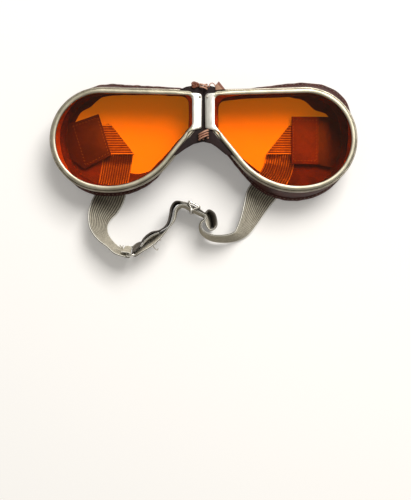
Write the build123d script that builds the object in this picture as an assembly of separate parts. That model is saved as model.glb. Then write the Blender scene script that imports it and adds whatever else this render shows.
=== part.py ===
from build123d import *
from math import atan2, cos, degrees, hypot, pi, radians, sin, sqrt, tan
import os

# Folding aviator goggles, lying with their lenses up.
# +X points to the eyepiece with the long strap, called the right one here, +Y to the brow edge
# and +Z the way the lenses face. The face pads rest on z = 0 and the fold lies over x = 0.
# Every piece is drawn about the eye line (y = 0) and moved by eye_line_y when it is written.

# Overall places
front_height = 27.0
eye_line_y = 16.1
hinge_height = front_height

# Lens opening: a teardrop of a temple circle, a wider lower arc and three straight edges
lens_centre_x = 57.7
lens_centre_y = -0.4
lens_temple_radius = 26.0
lens_lower_radius = 40.5
lens_nose_x = 6.4
lens_top_angle = 91.5
lens_nose_top_radius = 3.2
lens_nose_low_radius = 3.5

# Outer edge of the face pad, which flares beyond the rim at the brow and cheek
pad_centre_x = 54.0
pad_centre_y = 0.0
pad_temple_radius = 33.5
pad_lower_radius = 36.5
pad_nose_x = 5.4
pad_top_angle = 95.0
pad_nose_top_radius = 10.0
pad_nose_low_radius = 8.0

# Directions in which both outlines pass from arc to arc, and each pad's lift over its rim
switch_angle = -74.0
diagonal_angle = 219.0
right_lift = -0.6
left_lift = 2.4

# Sheet metal rim
rim_band_width = 2.4
rim_sheet = 0.8
rim_skirt = 0.8
rim_outer_bevel = 0.3
rim_inner_bevel = 0.2

# Nose plate, set from the rim's brow edge and the lens opening's low nose corner
plate_gap = 0.8
plate_top_drop = 1.3
plate_low_drop = 2.0
plate_top_rise = 0.8
plate_slant = 1.9
plate_low_ease = 0.2
plate_root_reach = 3.2
plate_corner_radius = 2.0

# Lens and gasket
lens_overlap = 1.3
lens_thickness = 2.0
gasket_thickness = 0.3
gasket_overlap = 0.35
seat_clearance = 0.1

# Clamp ring round the rim, which grips the leather
clamp_wall = 1.0
clamp_clearance = 0.2
clamp_top_drop = 2.0
clamp_height = 3.4
clamp_shelf = 0.8
clamp_shelf_overlap = 0.3
clamp_bevel = 0.35

# Leather cup and face pad
cup_wall = 1.35
cup_skirt_height = 1.8
cup_belly = 0.6
cup_belly_share = 0.55
pad_width = 6.5
pad_height = 4.5
pad_crown_bevel = 2.0
pad_crown_ease = 0.7
pad_inner_bevel = 1.4
pad_foot_bevel = 0.4
pad_step = 1.8

# Leather nose flaps, laced along the fold
flap_thickness = 1.0
flap_inner_x = 0.45
flap_strip_width = 0.9
flap_top_rise = 6.4
flap_low_drop = 8.6
flap_ear_width = 4.4
flap_shoulder_x = 7.4
flap_shoulder_drop = 2.0
flap_ear_root_x = 14.0
flap_ear_root_rise = 1.6
flap_web_x = 15.4
flap_web_drop = 12.5

# Rivets through plate and flap
rivet_x = 2.0
rivet_drop = 2.0
rivet_radius = 0.45
rivet_head_radius = 0.8
rivet_head_height = 0.15
rivet_play = 0.02

# Lacing: a leather thong wound about the fold, above and below the nose plates
lace_width = 0.9
lace_thickness = 0.7
lace_radius = 3.0
lace_pitch = 1.4
lace_turn_count = 3
lace_clearance = 0.25
gap_step_count = 72
top_lace_rise = 0.8
bottom_lace_drop = 2.0
knot_radius = 1.0
knot_pitch = 1.8
knot_turn_count = 2
knot_x = 5.4
knot_rise = 2.0
end_root_x = 7.1
end_root_rise = 3.4
end_width = 2.4
end_thickness = 1.2
end_outline_shares = [(0, -0.5), (0, 0), (1, 1), (2, 0.35), (2.2, -0.35)]

# Elastic straps and their leather tabs
strap_width = 18.0
strap_thickness = 1.1
floor_gap = 0.3
layer_gap = 0.2
tunnel_side_gap = 1.5
tunnel_top_gap = 0.6
tunnel_length = 26.0
strap_centre_y = 2.0
sewn_overlap = 6.0
left_fold_top_x = 55.5
left_fold_low_x = 43.5
right_fold_top_x = 52.0
right_fold_low_x = 37.5
tab_thickness = 1.1
tab_width = 26.0
tab_inner_x = 54.4
tab_flat_length = 7.6
tab_slope_gap = 5.0
tab_bend_radius = 0.9
tab_side_gap = 0.35
tab_leg_top = 13.0
tab_leg_lean = 0.75
tab_corner_radius = 4.0

# Ring at the end of the short strap
wire_radius = 0.65
ring_spacing = 4.5
ring_bar_length = 18.6
ring_corner_radius = 1.4
ring_turn = 10.0
ring_lean = 13.0
bar_gap = 0.25

# Adjusting slide on the long strap: end bars on one side of it, middle bar on the other
slide_turn = 153.0
slide_lean = 4.0
slide_bar_radius = 0.6
slide_bar_spacing = 3.6
slide_bar_gap = 0.15
slide_end_gap = 0.6
slide_end_width = 1.5
slide_end_round = 0.75

# Routes of the straps: x and y as shares of the half width, the lower edge's lift as a share of
# the strap's width, and the roll in degrees that raises the right-hand edge
half_width = 87.2
station_step_count = 2
ring_place_shares = (-0.4794, -0.7316)
slide_place_shares = (-0.0734, -0.4518)
short_strap_shares = [
    (-0.580, 0.135, 0, 0), (-0.592, 0.010, 0, 0), (-0.604, -0.100, 0, 0), (-0.617, -0.205, 0, 0),
    (-0.635, -0.315, 0, 0), (-0.653, -0.378, 0, 3), (-0.675, -0.437, 0, 20), (-0.702, -0.502, 0, 40),
    (-0.706, -0.571, 0.01, 54), (-0.680, -0.638, 0.04, 64), (-0.628, -0.692, 0.08, 72),
    (-0.569, -0.731, 0.11, 76),
]
short_strap_end_shares = [(-0.556, -0.716, 0.11, 102), (-0.594, -0.694, 0.10, 104)]
long_strap_shares = [
    (0.534, 0.135, 0, 0), (0.532, 0.025, 0, 0), (0.523, -0.090, 0, 0), (0.505, -0.195, 0, 0),
    (0.474, -0.295, 0, 0), (0.436, -0.378, 0, 3), (0.390, -0.440, 0, 15), (0.338, -0.505, 0, 33),
    (0.286, -0.568, 0.02, 51), (0.218, -0.616, 0.05, 65), (0.132, -0.634, 0.08, 74),
    (0.052, -0.630, 0.10, 80), (-0.002, -0.607, 0.12, 84), (-0.022, -0.572, 0.12, 86),
    (-0.013, -0.537, 0.12, 86), (0.008, -0.513, 0.12, 86), (0.003, -0.492, 0.12, 86),
    (-0.013, -0.485, 0.12, 86),
]
lower_run_shares = [
    (-0.158, -0.436, 0.12, 87), (-0.183, -0.466, 0.12, 88), (-0.198, -0.526, 0.12, 90),
    (-0.242, -0.586, 0.12, 92), (-0.300, -0.634, 0.12, 95), (-0.354, -0.676, 0.12, 98),
    (-0.405, -0.714, 0.12, 101),
]
upper_run_shares = [
    (-0.431, -0.688, 0.12, 79), (-0.385, -0.653, 0.12, 82), (-0.337, -0.618, 0.12, 86),
    (-0.286, -0.592, 0.12, 88), (-0.240, -0.555, 0.12, 90), (-0.221, -0.499, 0.12, 91),
    (-0.210, -0.446, 0.12, 92), (-0.178, -0.410, 0.12, 93),
]
tail_shares = [
    (0.010, -0.456, 0.12, 95), (0.039, -0.459, 0.12, 98), (0.057, -0.489, 0.12, 100),
    (0.069, -0.531, 0.12, 100), (0.071, -0.564, 0.12, 98), (0.062, -0.584, 0.12, 90),
    (0.045, -0.582, 0.12, 84), (0.038, -0.562, 0.12, 82), (0.036, -0.532, 0.12, 82),
    (0.031, -0.502, 0.12, 82), (0.025, -0.484, 0.12, 82),
]
crossing_station_count = 4


def teardrop(centre_x, centre_y, temple_radius, lower_radius, nose_x, top_angle,
             nose_top_radius, nose_low_radius):
    return {
        "centre_x": centre_x, "centre_y": centre_y, "temple_radius": temple_radius,
        "lower_radius": lower_radius, "nose_x": nose_x, "top_angle": top_angle,
        "nose_top_radius": nose_top_radius, "nose_low_radius": nose_low_radius,
    }


def landmarks(shape, grow, lift=0.0):
    """Where a teardrop's arcs and lines meet, its edge moved outwards by grow and up by lift."""
    temple_radius = shape["temple_radius"] + grow
    lower_radius = shape["lower_radius"] + grow
    nose_x = shape["nose_x"] - grow
    centre = Vector(shape["centre_x"], shape["centre_y"] + lift)
    lower_centre = centre - polar(lower_radius - temple_radius, switch_angle)
    top = centre + polar(temple_radius, shape["top_angle"])
    diagonal = lower_centre + polar(lower_radius, diagonal_angle)
    top_drop = (top.X - nose_x) * tan(radians(shape["top_angle"] - 90))
    low_rise = (diagonal.X - nose_x) / tan(radians(diagonal_angle - 180))
    return {
        "top": top,
        "temple": centre + polar(temple_radius, (shape["top_angle"] + switch_angle) / 2),
        "switch": centre + polar(temple_radius, switch_angle),
        "lower": lower_centre + polar(lower_radius, (360 + switch_angle + diagonal_angle) / 2),
        "diagonal": diagonal,
        "nose_low": Vector(nose_x, diagonal.Y + low_rise),
        "nose_top": Vector(nose_x, top.Y - top_drop),
    }


def outline(shape, grow, lift=0.0):
    """Face on z = 0 of a teardrop, its edge moved outwards by grow and up by lift."""
    mark = landmarks(shape, grow, lift)
    face = make_face([
        Line(mark["nose_top"], mark["top"]),
        ThreePointArc(mark["top"], mark["temple"], mark["switch"]),
        ThreePointArc(mark["switch"], mark["lower"], mark["diagonal"]),
        Line(mark["diagonal"], mark["nose_low"]),
        Line(mark["nose_low"], mark["nose_top"]),
    ])
    corners = face.vertices().group_by(Axis.X)[0].sort_by(Axis.Y)
    face = fillet(corners[-1], shape["nose_top_radius"] + grow)
    corners = face.vertices().group_by(Axis.X)[0].sort_by(Axis.Y)
    return fillet(corners[0], shape["nose_low_radius"] + grow)


def polar(radius, angle):
    return Vector(radius * cos(radians(angle)), radius * sin(radians(angle)))


def between(first, second, share):
    """Shape part of the way from one teardrop to another."""
    return {key: first[key] + (second[key] - first[key]) * share for key in first}


def grown(shape, grow, lift=0.0):
    """The same teardrop with its edge moved outwards by grow."""
    moved = dict(shape)
    for key in ("temple_radius", "lower_radius", "nose_top_radius", "nose_low_radius"):
        moved[key] = shape[key] + grow
    moved["nose_x"] = shape["nose_x"] - grow
    moved["centre_y"] = shape["centre_y"] + lift
    return moved


def leaning_plane(place_shares, height, turn, lean):
    """Plane of a ring or slide: its x runs along the strap, its y across it, leaning right."""
    x, y = (share * half_width for share in place_shares)
    along = polar(1, turn)
    across = polar(sin(radians(lean)), turn - 90) + Vector(0, 0, cos(radians(lean)))
    return Plane(origin=(x, y, height), x_dir=along, z_dir=along.cross(across))


def slab(sketch, low, high):
    return extrude(Pos(0, 0, low) * sketch, high - low)


def polygon(points):
    return make_face(Polyline(*points, close=True))


lens_shape = teardrop(
    lens_centre_x, lens_centre_y, lens_temple_radius, lens_lower_radius, lens_nose_x,
    lens_top_angle, lens_nose_top_radius, lens_nose_low_radius)
pad_shape = teardrop(
    pad_centre_x, pad_centre_y, pad_temple_radius, pad_lower_radius, pad_nose_x,
    pad_top_angle, pad_nose_top_radius, pad_nose_low_radius)

# Places along the fold, worked out from the lens opening's corners at the nose
plate_top_y = landmarks(lens_shape, rim_band_width)["nose_top"].Y - plate_top_drop
plate_low_y = landmarks(lens_shape, 0)["nose_low"].Y - plate_low_drop
flap_top_y = plate_top_y + flap_top_rise
rivet_y = plate_top_y - rivet_drop
top_lace_y = plate_top_y + top_lace_rise
bottom_lace_y = plate_low_y - bottom_lace_drop
knot_y = plate_top_y + knot_rise
end_root_y = plate_top_y + end_root_rise

# Levels worked out from the front face down
plate_under = front_height - rim_sheet
lens_top = plate_under - gasket_thickness
lens_under = lens_top - lens_thickness
flap_top = plate_under - seat_clearance
flap_under = flap_top - flap_thickness
clamp_top = front_height - clamp_top_drop
clamp_under = clamp_top - clamp_height
shelf_under = lens_under - clamp_shelf
cup_top = shelf_under - seat_clearance
cup_flare = cup_top - cup_skirt_height
skirt_inner = rim_band_width - rim_skirt
clamp_inner = rim_band_width + clamp_clearance
clamp_outer = clamp_inner + clamp_wall
flap_edge = rim_band_width + seat_clearance
slot_inner_x = flap_inner_x + flap_strip_width
slot_outer_x = lace_radius + lace_width / 2 + seat_clearance
lace_length = lace_turn_count * lace_pitch

# The strap tabs climb outside the wider of face pad and clamp ring
pad_edge_x = pad_centre_x + pad_temple_radius
tab_side_x = max(pad_edge_x, lens_centre_x + lens_temple_radius + clamp_outer)
tab_leg_x = tab_side_x + tab_side_gap + tab_thickness / 2
tab_slope_end_x = pad_edge_x - pad_width - tab_slope_gap
slot_margin = lace_width / 2 + lace_clearance
fixed_slots = (top_lace_y + slot_margin, bottom_lace_y - slot_margin)
moving_slots = (top_lace_y - slot_margin, bottom_lace_y + slot_margin)

# Planes of the ring and the slide, standing on the floor as they lean
ring_middle = (floor_gap + wire_radius * sin(radians(ring_lean))
               + (ring_bar_length / 2 + ring_corner_radius + wire_radius) * cos(radians(ring_lean)))
ring_plane = leaning_plane(ring_place_shares, ring_middle, ring_turn, ring_lean)
bar_radius = wire_radius + bar_gap + strap_thickness / 2
strap_spacing = strap_thickness + layer_gap
slide_bar_offset = strap_spacing / 2 + strap_thickness / 2 + slide_bar_gap + slide_bar_radius
slide_middle = (floor_gap + (slide_bar_offset + slide_end_round) * sin(radians(slide_lean))
                + (strap_width / 2 + slide_end_gap + slide_end_width) * cos(radians(slide_lean)))
slide_plane = leaning_plane(slide_place_shares, slide_middle, slide_turn, slide_lean)
slide_reach = slide_bar_spacing + 2 * slide_bar_radius


def make_rim():
    band = outline(lens_shape, rim_band_width)
    root_x = lens_nose_x + plate_root_reach
    plate = polygon([
        (plate_gap, plate_top_y),
        (root_x, plate_top_y + plate_top_rise),
        (root_x, plate_low_y - plate_slant / 2),
        (lens_nose_x + plate_low_ease, plate_low_y - plate_slant),
        (plate_gap + plate_low_ease, plate_low_y),
    ])
    corner = plate.vertices().group_by(Axis.X)[0][0]
    plate = fillet(corner, plate_corner_radius)
    front = slab(band + plate - outline(lens_shape, 0), plate_under, front_height)
    inner_edges = front.faces().sort_by(Axis.Z)[-1].inner_wires()[0].edges()
    front = chamfer(inner_edges, rim_inner_bevel)
    outer_edges = front.faces().sort_by(Axis.Z)[-1].outer_wire().edges()
    front = chamfer(outer_edges, rim_outer_bevel)
    skirt = slab(band - outline(lens_shape, skirt_inner), lens_under + seat_clearance, plate_under)
    hole = Pos(rivet_x, rivet_y, 0) * Cylinder(rivet_radius + rivet_play, 2 * front_height)
    return front + skirt - hole


def make_gasket():
    ring = outline(lens_shape, lens_overlap) - outline(lens_shape, gasket_overlap)
    return slab(ring, lens_top, plate_under)


def make_lens():
    return slab(outline(lens_shape, lens_overlap), lens_under, lens_top)


def make_clamp_ring():
    wall = slab(outline(lens_shape, clamp_outer) - outline(lens_shape, clamp_inner), clamp_under, clamp_top)
    wall = chamfer(wall.faces().sort_by(Axis.Z)[-1].edges(), clamp_bevel)
    shelf = outline(lens_shape, clamp_inner + clamp_wall / 2) - outline(lens_shape, clamp_shelf_overlap)
    return wall + slab(shelf, shelf_under, lens_under)


def cup_sections(inset, lift):
    """Outlines from the clamp ring down to the face pad, moved inwards by inset."""
    front = grown(lens_shape, rim_band_width - inset)
    rear = grown(pad_shape, -pad_step - inset, lift)
    middle = grown(between(front, rear, cup_belly_share), cup_belly)
    middle_height = cup_flare + (pad_height - cup_flare) * cup_belly_share
    return [
        Pos(0, 0, cup_flare) * outline(front, 0),
        Pos(0, 0, middle_height) * outline(middle, 0),
        Pos(0, 0, pad_height) * outline(rear, 0),
    ]


def make_cup(lift):
    outer = loft([section.face() for section in cup_sections(0, lift)], ruled=True)
    inner = loft([section.face() for section in cup_sections(cup_wall, lift)], ruled=True)
    skirt = outline(lens_shape, rim_band_width) - outline(lens_shape, rim_band_width - cup_wall)
    return slab(skirt, cup_flare, cup_top) + (outer - inner)


def make_face_pad(lift, tunnel, tab_tunnel):
    pad = slab(outline(pad_shape, 0, lift) - outline(pad_shape, -pad_width, lift), 0, pad_height)
    crown = pad.faces().sort_by(Axis.Z)[-1]
    pad = chamfer(crown.outer_wire().edges(), pad_crown_bevel)
    for level in (pad_height - pad_crown_bevel, pad_height):
        rows = pad.edges().group_by(Axis.Z)
        row = min(rows, key=lambda edges: abs(edges[0].center().Z - level))
        pad = chamfer(row.sort_by(Axis.X)[-1], pad_crown_ease)
    crown = pad.faces().sort_by(Axis.Z)[-1]
    pad = chamfer(crown.inner_wires()[0].edges(), pad_inner_bevel)
    pad = chamfer(pad.faces().sort_by(Axis.Z)[0].edges(), pad_foot_bevel)
    return pad - tunnel - tab_tunnel


def make_nose_flap(first_slots):
    """Flap under the nose plate; first_slots are the y values where its two slots start."""
    flap = polygon([
        (flap_inner_x, flap_top_y),
        (flap_inner_x + flap_ear_width, flap_top_y),
        (flap_shoulder_x, flap_top_y - flap_shoulder_drop),
        (flap_ear_root_x, plate_top_y + flap_ear_root_rise),
        (flap_ear_root_x, 0),
        (flap_web_x, plate_low_y - flap_web_drop),
        (flap_inner_x, plate_low_y - flap_low_drop),
    ])
    flap = slab(flap - outline(lens_shape, flap_edge), flap_under, flap_top)
    for start_y, way in zip(first_slots, (1, -1)):
        last_y = (top_lace_y if way > 0 else bottom_lace_y) + way * (lace_length + slot_margin)
        flap -= Pos((slot_inner_x + slot_outer_x) / 2, (start_y + last_y) / 2, flap_top) * Box(
            slot_outer_x - slot_inner_x, abs(last_y - start_y), 4 * flap_thickness)
    return flap - Pos(rivet_x, rivet_y, 0) * Cylinder(rivet_radius + rivet_play, 2 * front_height)


def make_rivet():
    low = flap_under - rivet_head_height
    high = front_height + rivet_head_height
    shank = Cylinder(rivet_radius, high - low)
    head = Cylinder(rivet_head_radius, rivet_head_height)
    rivet = Pos(rivet_x, rivet_y, (low + high) / 2) * shank
    for level in (low + rivet_head_height / 2, high - rivet_head_height / 2):
        rivet += Pos(rivet_x, rivet_y, level) * head
    return rivet


def winding(radius, turns, pitch):
    """Thong wound about the Y axis from y = 0: level half turns above, slanted ones below."""
    lower_radius = hypot(radius, pitch / 2)
    edges = [Line((radius, 0, -lace_width), (radius, 0, 0))]
    for turn in range(turns):
        near = turn * pitch
        far = near + pitch
        edges.append(ThreePointArc((radius, near, 0), (0, near, radius), (-radius, near, 0)))
        edges.append(ThreePointArc(
            (-radius, near, 0), (0, (near + far) / 2, -lower_radius), (radius, far, 0)))
    edges.append(Line((radius, turns * pitch, 0), (radius, turns * pitch, lace_width)))
    path = Wire(edges)
    section = Pos(radius, 0, -lace_width) * Rectangle(lace_thickness, lace_width)
    return sweep(section, path)


def print_winding_gap(name, radius, turns, pitch):
    """Least gap between one turn and the next, measured on points of the centre line."""
    points = []
    for turn in range(turns):
        for step in range(gap_step_count):
            angle = 2 * pi * step / gap_step_count
            along, up = radius * cos(angle), radius * sin(angle)
            if up >= 0:
                points.append((along, turn * pitch, up))
            else:
                share = (1 + cos(angle)) / 2
                points.append((along, (turn + share) * pitch, hypot(radius, pitch / 2) * sin(angle)))
    gap = min(
        sqrt(sum((a - b) ** 2 for a, b in zip(points[i], points[j])))
        for i in range(len(points)) for j in range(i + gap_step_count // 2, len(points))
    )
    print(name, "least gap between turns", round(gap - lace_width, 2))


def make_top_lace():
    return Pos(0, top_lace_y, hinge_height) * winding(lace_radius, lace_turn_count, lace_pitch)


def make_bottom_lace():
    lace = winding(lace_radius, lace_turn_count, lace_pitch)
    return Pos(0, bottom_lace_y, hinge_height) * mirror(lace, about=Plane.XZ)


def make_knot():
    height = flap_top + seat_clearance + hypot(knot_radius, knot_pitch / 2) + lace_width / 2
    return Pos(-knot_x, knot_y, height) * winding(knot_radius, knot_turn_count, knot_pitch)


def make_lace_end():
    strip = polygon([
        (end_root_x + across * end_width, end_root_y + up * end_width)
        for across, up in end_outline_shares
    ])
    return slab(strip, flap_top, flap_top + end_thickness)


def smooth(points, steps):
    """Rows along a curve through the given ones, evenly stepped between each pair."""
    rows = []
    for i in range(len(points) - 1):
        before = points[max(i - 1, 0)]
        start, end = points[i], points[i + 1]
        after = points[min(i + 2, len(points) - 1)]
        for step in range(steps):
            t = step / steps
            rows.append(tuple(
                0.5 * (2 * b + (c - a) * t + (2 * a - 5 * b + 4 * c - d) * t ** 2
                       + (3 * b - a - 3 * c + d) * t ** 3)
                for a, b, c, d in zip(before, start, end, after)))
    rows.append(tuple(points[-1]))
    return rows


def laid(shares):
    """Stations of a strap on the floor: its middle and the way from its lower to its upper edge."""
    stations = []
    for i, (x, y, lift, roll) in enumerate(shares):
        before, after = shares[max(i - 1, 0)], shares[min(i + 1, len(shares) - 1)]
        heading = Vector(after[0] - before[0], after[1] - before[1], 0).normalized()
        right = Vector(heading.Y, -heading.X, 0)
        rise = sin(radians(roll))
        flat = cos(radians(roll))
        height = floor_gap + strap_width * (lift + rise / 2) + strap_thickness / 2 * abs(flat)
        across = right * flat + Vector(0, 0, rise)
        stations.append((x * half_width, y * half_width, height, across.X, across.Y, across.Z))
    return stations


def stations_on(plane, places):
    """Stations at places (along, beside) of a leaning plane, lying across its middle."""
    across = plane.y_dir
    rows = []
    for along, beside in places:
        point = plane.origin + plane.x_dir * along + plane.z_dir * beside
        rows.append((point.X, point.Y, point.Z, across.X, across.Y, across.Z))
    return rows


def make_ribbon(stations):
    """Solid of a strap through stations of middle point and across direction."""
    rows = smooth(stations, station_step_count)
    sections = []
    for i, row in enumerate(rows):
        before, after = rows[max(i - 1, 0)], rows[min(i + 1, len(rows) - 1)]
        heading = Vector(*after[:3]) - Vector(*before[:3])
        across = Vector(*row[3:]).normalized()
        through = across.cross(heading).normalized() * (strap_thickness / 2)
        half = across * (strap_width / 2)
        middle = Vector(*row[:3])
        sections.append([
            middle - half - through, middle + half - through,
            middle + half + through, middle - half + through,
        ])
    facets = [polygon(sections[0]).face(), polygon(sections[-1]).face()]
    for near, far in zip(sections, sections[1:]):
        for a in range(len(near)):
            b = (a + 1) % len(near)
            facets.append(polygon([near[a], near[b], far[b]]).face())
            facets.append(polygon([near[a], far[b], far[a]]).face())
    return Solid(Shell(facets))


def make_folded_end(side, fold_top_x, fold_low_x):
    """Sewn end of a strap and its fold; side is 1 for the right and -1 for the left."""
    top_y = strap_centre_y + strap_width / 2
    low_y = strap_centre_y - strap_width / 2
    sewn_x = tab_inner_x + sewn_overlap
    upper_low = floor_gap + strap_thickness + layer_gap
    upper_high = upper_low + strap_thickness
    end = slab(polygon([
        (side * sewn_x, top_y), (side * fold_top_x, top_y),
        (side * fold_low_x, low_y), (side * sewn_x, low_y),
    ]), upper_low, upper_high)
    edge = slab(polygon([
        (side * fold_top_x, top_y), (side * (fold_top_x - strap_thickness), top_y),
        (side * (fold_low_x - strap_thickness), low_y), (side * fold_low_x, low_y),
    ]), floor_gap, upper_high)
    far_x = fold_low_x - strap_width
    near_x = fold_top_x + strap_width
    beyond = slab(polygon([
        (side * near_x, top_y), (side * fold_top_x, top_y), (side * fold_low_x, low_y),
        (side * far_x, low_y), (side * far_x, 2 * top_y), (side * near_x, 2 * top_y),
    ]), 0, upper_high)
    return end + edge, beyond


def around_bar(bar_x, angles):
    """Stations round one long bar of the ring, at angles seen along the bar."""
    return stations_on(ring_plane, [
        (bar_x + bar_radius * cos(radians(angle)), bar_radius * sin(radians(angle)))
        for angle in angles
    ])


def make_short_strap():
    sewn, beyond = make_folded_end(-1, left_fold_top_x, left_fold_low_x)
    stations = laid(short_strap_shares)
    stations += around_bar(-ring_spacing / 2, (90, 45, 0, -45, -90))
    stations += laid(short_strap_end_shares)
    return (make_ribbon(stations) - beyond) + sewn


def make_long_strap():
    sewn, beyond = make_folded_end(1, right_fold_top_x, right_fold_low_x)
    through = [slide_reach, slide_reach / 2, 0, -slide_reach / 2, -slide_reach]
    stations = laid(long_strap_shares)
    stations += stations_on(slide_plane, [(-along, -strap_spacing / 2) for along in through])
    stations += laid(lower_run_shares)
    stations += around_bar(ring_spacing / 2, (66, 90, 135, 180, 225, 242))
    stations += laid(upper_run_shares)
    stations += stations_on(slide_plane, [(along, strap_spacing / 2) for along in through])
    stations += laid(tail_shares)
    return (make_ribbon(stations) - beyond) + sewn


def make_tunnel(shares):
    """Room under a face pad for the strap, where it crosses the pad's lower roll."""
    before, here, after = shares[crossing_station_count - 1:crossing_station_count + 2]
    turn = degrees(atan2(after[1] - before[1], after[0] - before[0]))
    height = floor_gap + strap_thickness + tunnel_top_gap
    tunnel = Box(tunnel_length, strap_width + 2 * tunnel_side_gap, 2 * height)
    return Pos(here[0] * half_width, here[1] * half_width, 0) * Rot(0, 0, turn) * tunnel


def make_tab_tunnel():
    height = floor_gap + tab_thickness + tunnel_top_gap
    tunnel = Box(tunnel_length, tab_width + 2 * tunnel_side_gap, 2 * height)
    return Pos(pad_edge_x, strap_centre_y, 0) * tunnel


def make_ring():
    path = RectangleRounded(
        ring_spacing, ring_bar_length + 2 * ring_corner_radius, ring_corner_radius).wire()
    section = (path ^ 0) * Circle(wire_radius)
    return ring_plane.location * sweep(section, path)


def make_slide():
    """Three bars joined at both ends by a rounded plate."""
    places = [
        (-slide_bar_spacing, slide_bar_offset), (slide_bar_spacing, slide_bar_offset),
        (0, -slide_bar_offset),
    ]
    inner = strap_width / 2 + slide_end_gap
    end = offset(polygon(places), slide_end_round)
    slide = Part()
    for x, z in places:
        slide += Pos(x, 0, z) * Rot(90, 0, 0) * Cylinder(slide_bar_radius, 2 * inner)
    for start in (-inner - slide_end_width, inner):
        slide += Pos(0, start, 0) * extrude(Plane.XZ * end, -slide_end_width)
    return slide_plane.location * slide


def make_tab():
    """Leather tab for the right side: sewn outside the cup, under the pad, onto the strap."""
    low = floor_gap + tab_thickness / 2
    high = floor_gap + 2 * strap_thickness + 2 * layer_gap + tab_thickness / 2
    path = FilletPolyline(
        (tab_inner_x, high), (tab_inner_x + tab_flat_length, high), (tab_slope_end_x, low),
        (tab_leg_x, low), (tab_leg_x, pad_height), (tab_leg_x - tab_leg_lean, 2 * pad_height),
        (tab_leg_x - tab_leg_lean, tab_leg_top), radius=tab_bend_radius)
    profile = Plane.XZ * trace(path, tab_thickness)
    tab = Pos(0, strap_centre_y + tab_width / 2, 0) * extrude(profile, tab_width)
    corners = tab.edges().filter_by(Axis.Z).group_by(Axis.X)[0]
    return fillet(corners, tab_corner_radius)


def make_side(side, lift, strap_shares, slots):
    """Pieces of one eyepiece, drawn for the right; the left one is mirrored from them."""
    flip = side < 0
    tunnel = make_tunnel(strap_shares)
    if flip:
        tunnel = mirror(tunnel, about=Plane.YZ)
    drawn = {
        "rim": make_rim(),
        "lens_gasket": make_gasket(),
        "lens": make_lens(),
        "clamp_ring": make_clamp_ring(),
        "cup": make_cup(lift),
        "face_pad": make_face_pad(lift, tunnel, make_tab_tunnel()),
        "nose_flap": make_nose_flap(slots),
        "nose_rivet": make_rivet(),
        "strap_tab": make_tab(),
    }
    if flip:
        return {"left_" + name: mirror(piece, about=Plane.YZ) for name, piece in drawn.items()}
    return {"right_" + name: piece for name, piece in drawn.items()}


pieces = make_side(1, right_lift, long_strap_shares, fixed_slots)
pieces.update(make_side(-1, left_lift, short_strap_shares, moving_slots))
pieces.update({
    "top_lace": make_top_lace(),
    "bottom_lace": make_bottom_lace(),
    "top_lace_knot": make_knot(),
    "top_lace_end": make_lace_end(),
    "short_strap": make_short_strap(),
    "long_strap": make_long_strap(),
    "strap_ring": make_ring(),
    "strap_slide": make_slide(),
})

os.makedirs("parts", exist_ok=True)
for name, piece in pieces.items():
    export_step(Pos(0, eye_line_y, 0) * piece, "parts/" + name + ".step")
print_winding_gap("lace", lace_radius, lace_turn_count, lace_pitch)
print_winding_gap("knot", knot_radius, knot_turn_count, knot_pitch)
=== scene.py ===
import math

import bmesh
import bpy
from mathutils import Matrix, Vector, noise


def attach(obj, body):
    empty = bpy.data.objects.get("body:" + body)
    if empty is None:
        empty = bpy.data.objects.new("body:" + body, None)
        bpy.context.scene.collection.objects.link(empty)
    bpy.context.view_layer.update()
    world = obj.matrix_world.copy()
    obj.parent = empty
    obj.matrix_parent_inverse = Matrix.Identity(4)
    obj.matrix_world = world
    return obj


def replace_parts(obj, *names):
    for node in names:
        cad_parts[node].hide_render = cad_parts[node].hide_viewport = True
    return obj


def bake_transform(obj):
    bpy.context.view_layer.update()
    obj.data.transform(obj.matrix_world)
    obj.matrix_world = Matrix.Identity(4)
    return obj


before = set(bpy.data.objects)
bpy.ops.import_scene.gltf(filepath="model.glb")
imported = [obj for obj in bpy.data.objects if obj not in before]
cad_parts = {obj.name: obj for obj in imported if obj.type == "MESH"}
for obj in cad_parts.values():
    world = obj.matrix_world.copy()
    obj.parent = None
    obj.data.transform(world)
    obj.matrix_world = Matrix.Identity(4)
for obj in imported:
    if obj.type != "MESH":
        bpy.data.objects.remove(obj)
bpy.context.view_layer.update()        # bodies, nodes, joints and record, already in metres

# Everything below is drawn in millimetres about the eye line, then placed in the frame
mm = 0.001
eyeLine = 16.1


def place(x, y, z):
    return Vector((x * mm, (y + eyeLine) * mm, z * mm))


def sine(angle):
    return math.sin(math.radians(angle))


def cosine(angle):
    return math.cos(math.radians(angle))


def polar(radius, angle):
    return Vector((radius * cosine(angle), radius * sine(angle), 0))


def ease(low, high, value):
    share = min(max((value - low) / (high - low), 0), 1)
    return share * share * (3 - 2 * share)


def addObject(name, data):
    thing = bpy.data.objects.new(name, data)
    bpy.context.scene.collection.objects.link(thing)
    return thing


# Camera straight above, as the photograph was taken
cameraSizes = {
    "x": 1.13, "y": -63.2, "height": 550.0, "focusHeight": 27.0, "viewWidth": 232.0, "sensor": 36,
    "clipStart": 0.01,
}


def makeCamera(sizes):
    data = bpy.data.cameras.new("overheadCamera")
    data.sensor_fit = "HORIZONTAL"
    data.sensor_width = sizes["sensor"]
    data.lens = data.sensor_width * (sizes["height"] - sizes["focusHeight"]) / sizes["viewWidth"]
    data.clip_start = sizes["clipStart"]
    camera = addObject("overheadCamera", data)
    camera.location = place(sizes["x"], sizes["y"], sizes["height"])
    bpy.context.scene.camera = camera


makeCamera(cameraSizes)
print("camera set")


# Materials

def hexColor(code):
    channels = [int(code[i:i + 2], 16) / 255 for i in (0, 2, 4)]
    linear = [c / 12.92 if c <= 0.04045 else ((c + 0.055) / 1.055) ** 2.4 for c in channels]
    return tuple(linear) + (1.0,)


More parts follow.
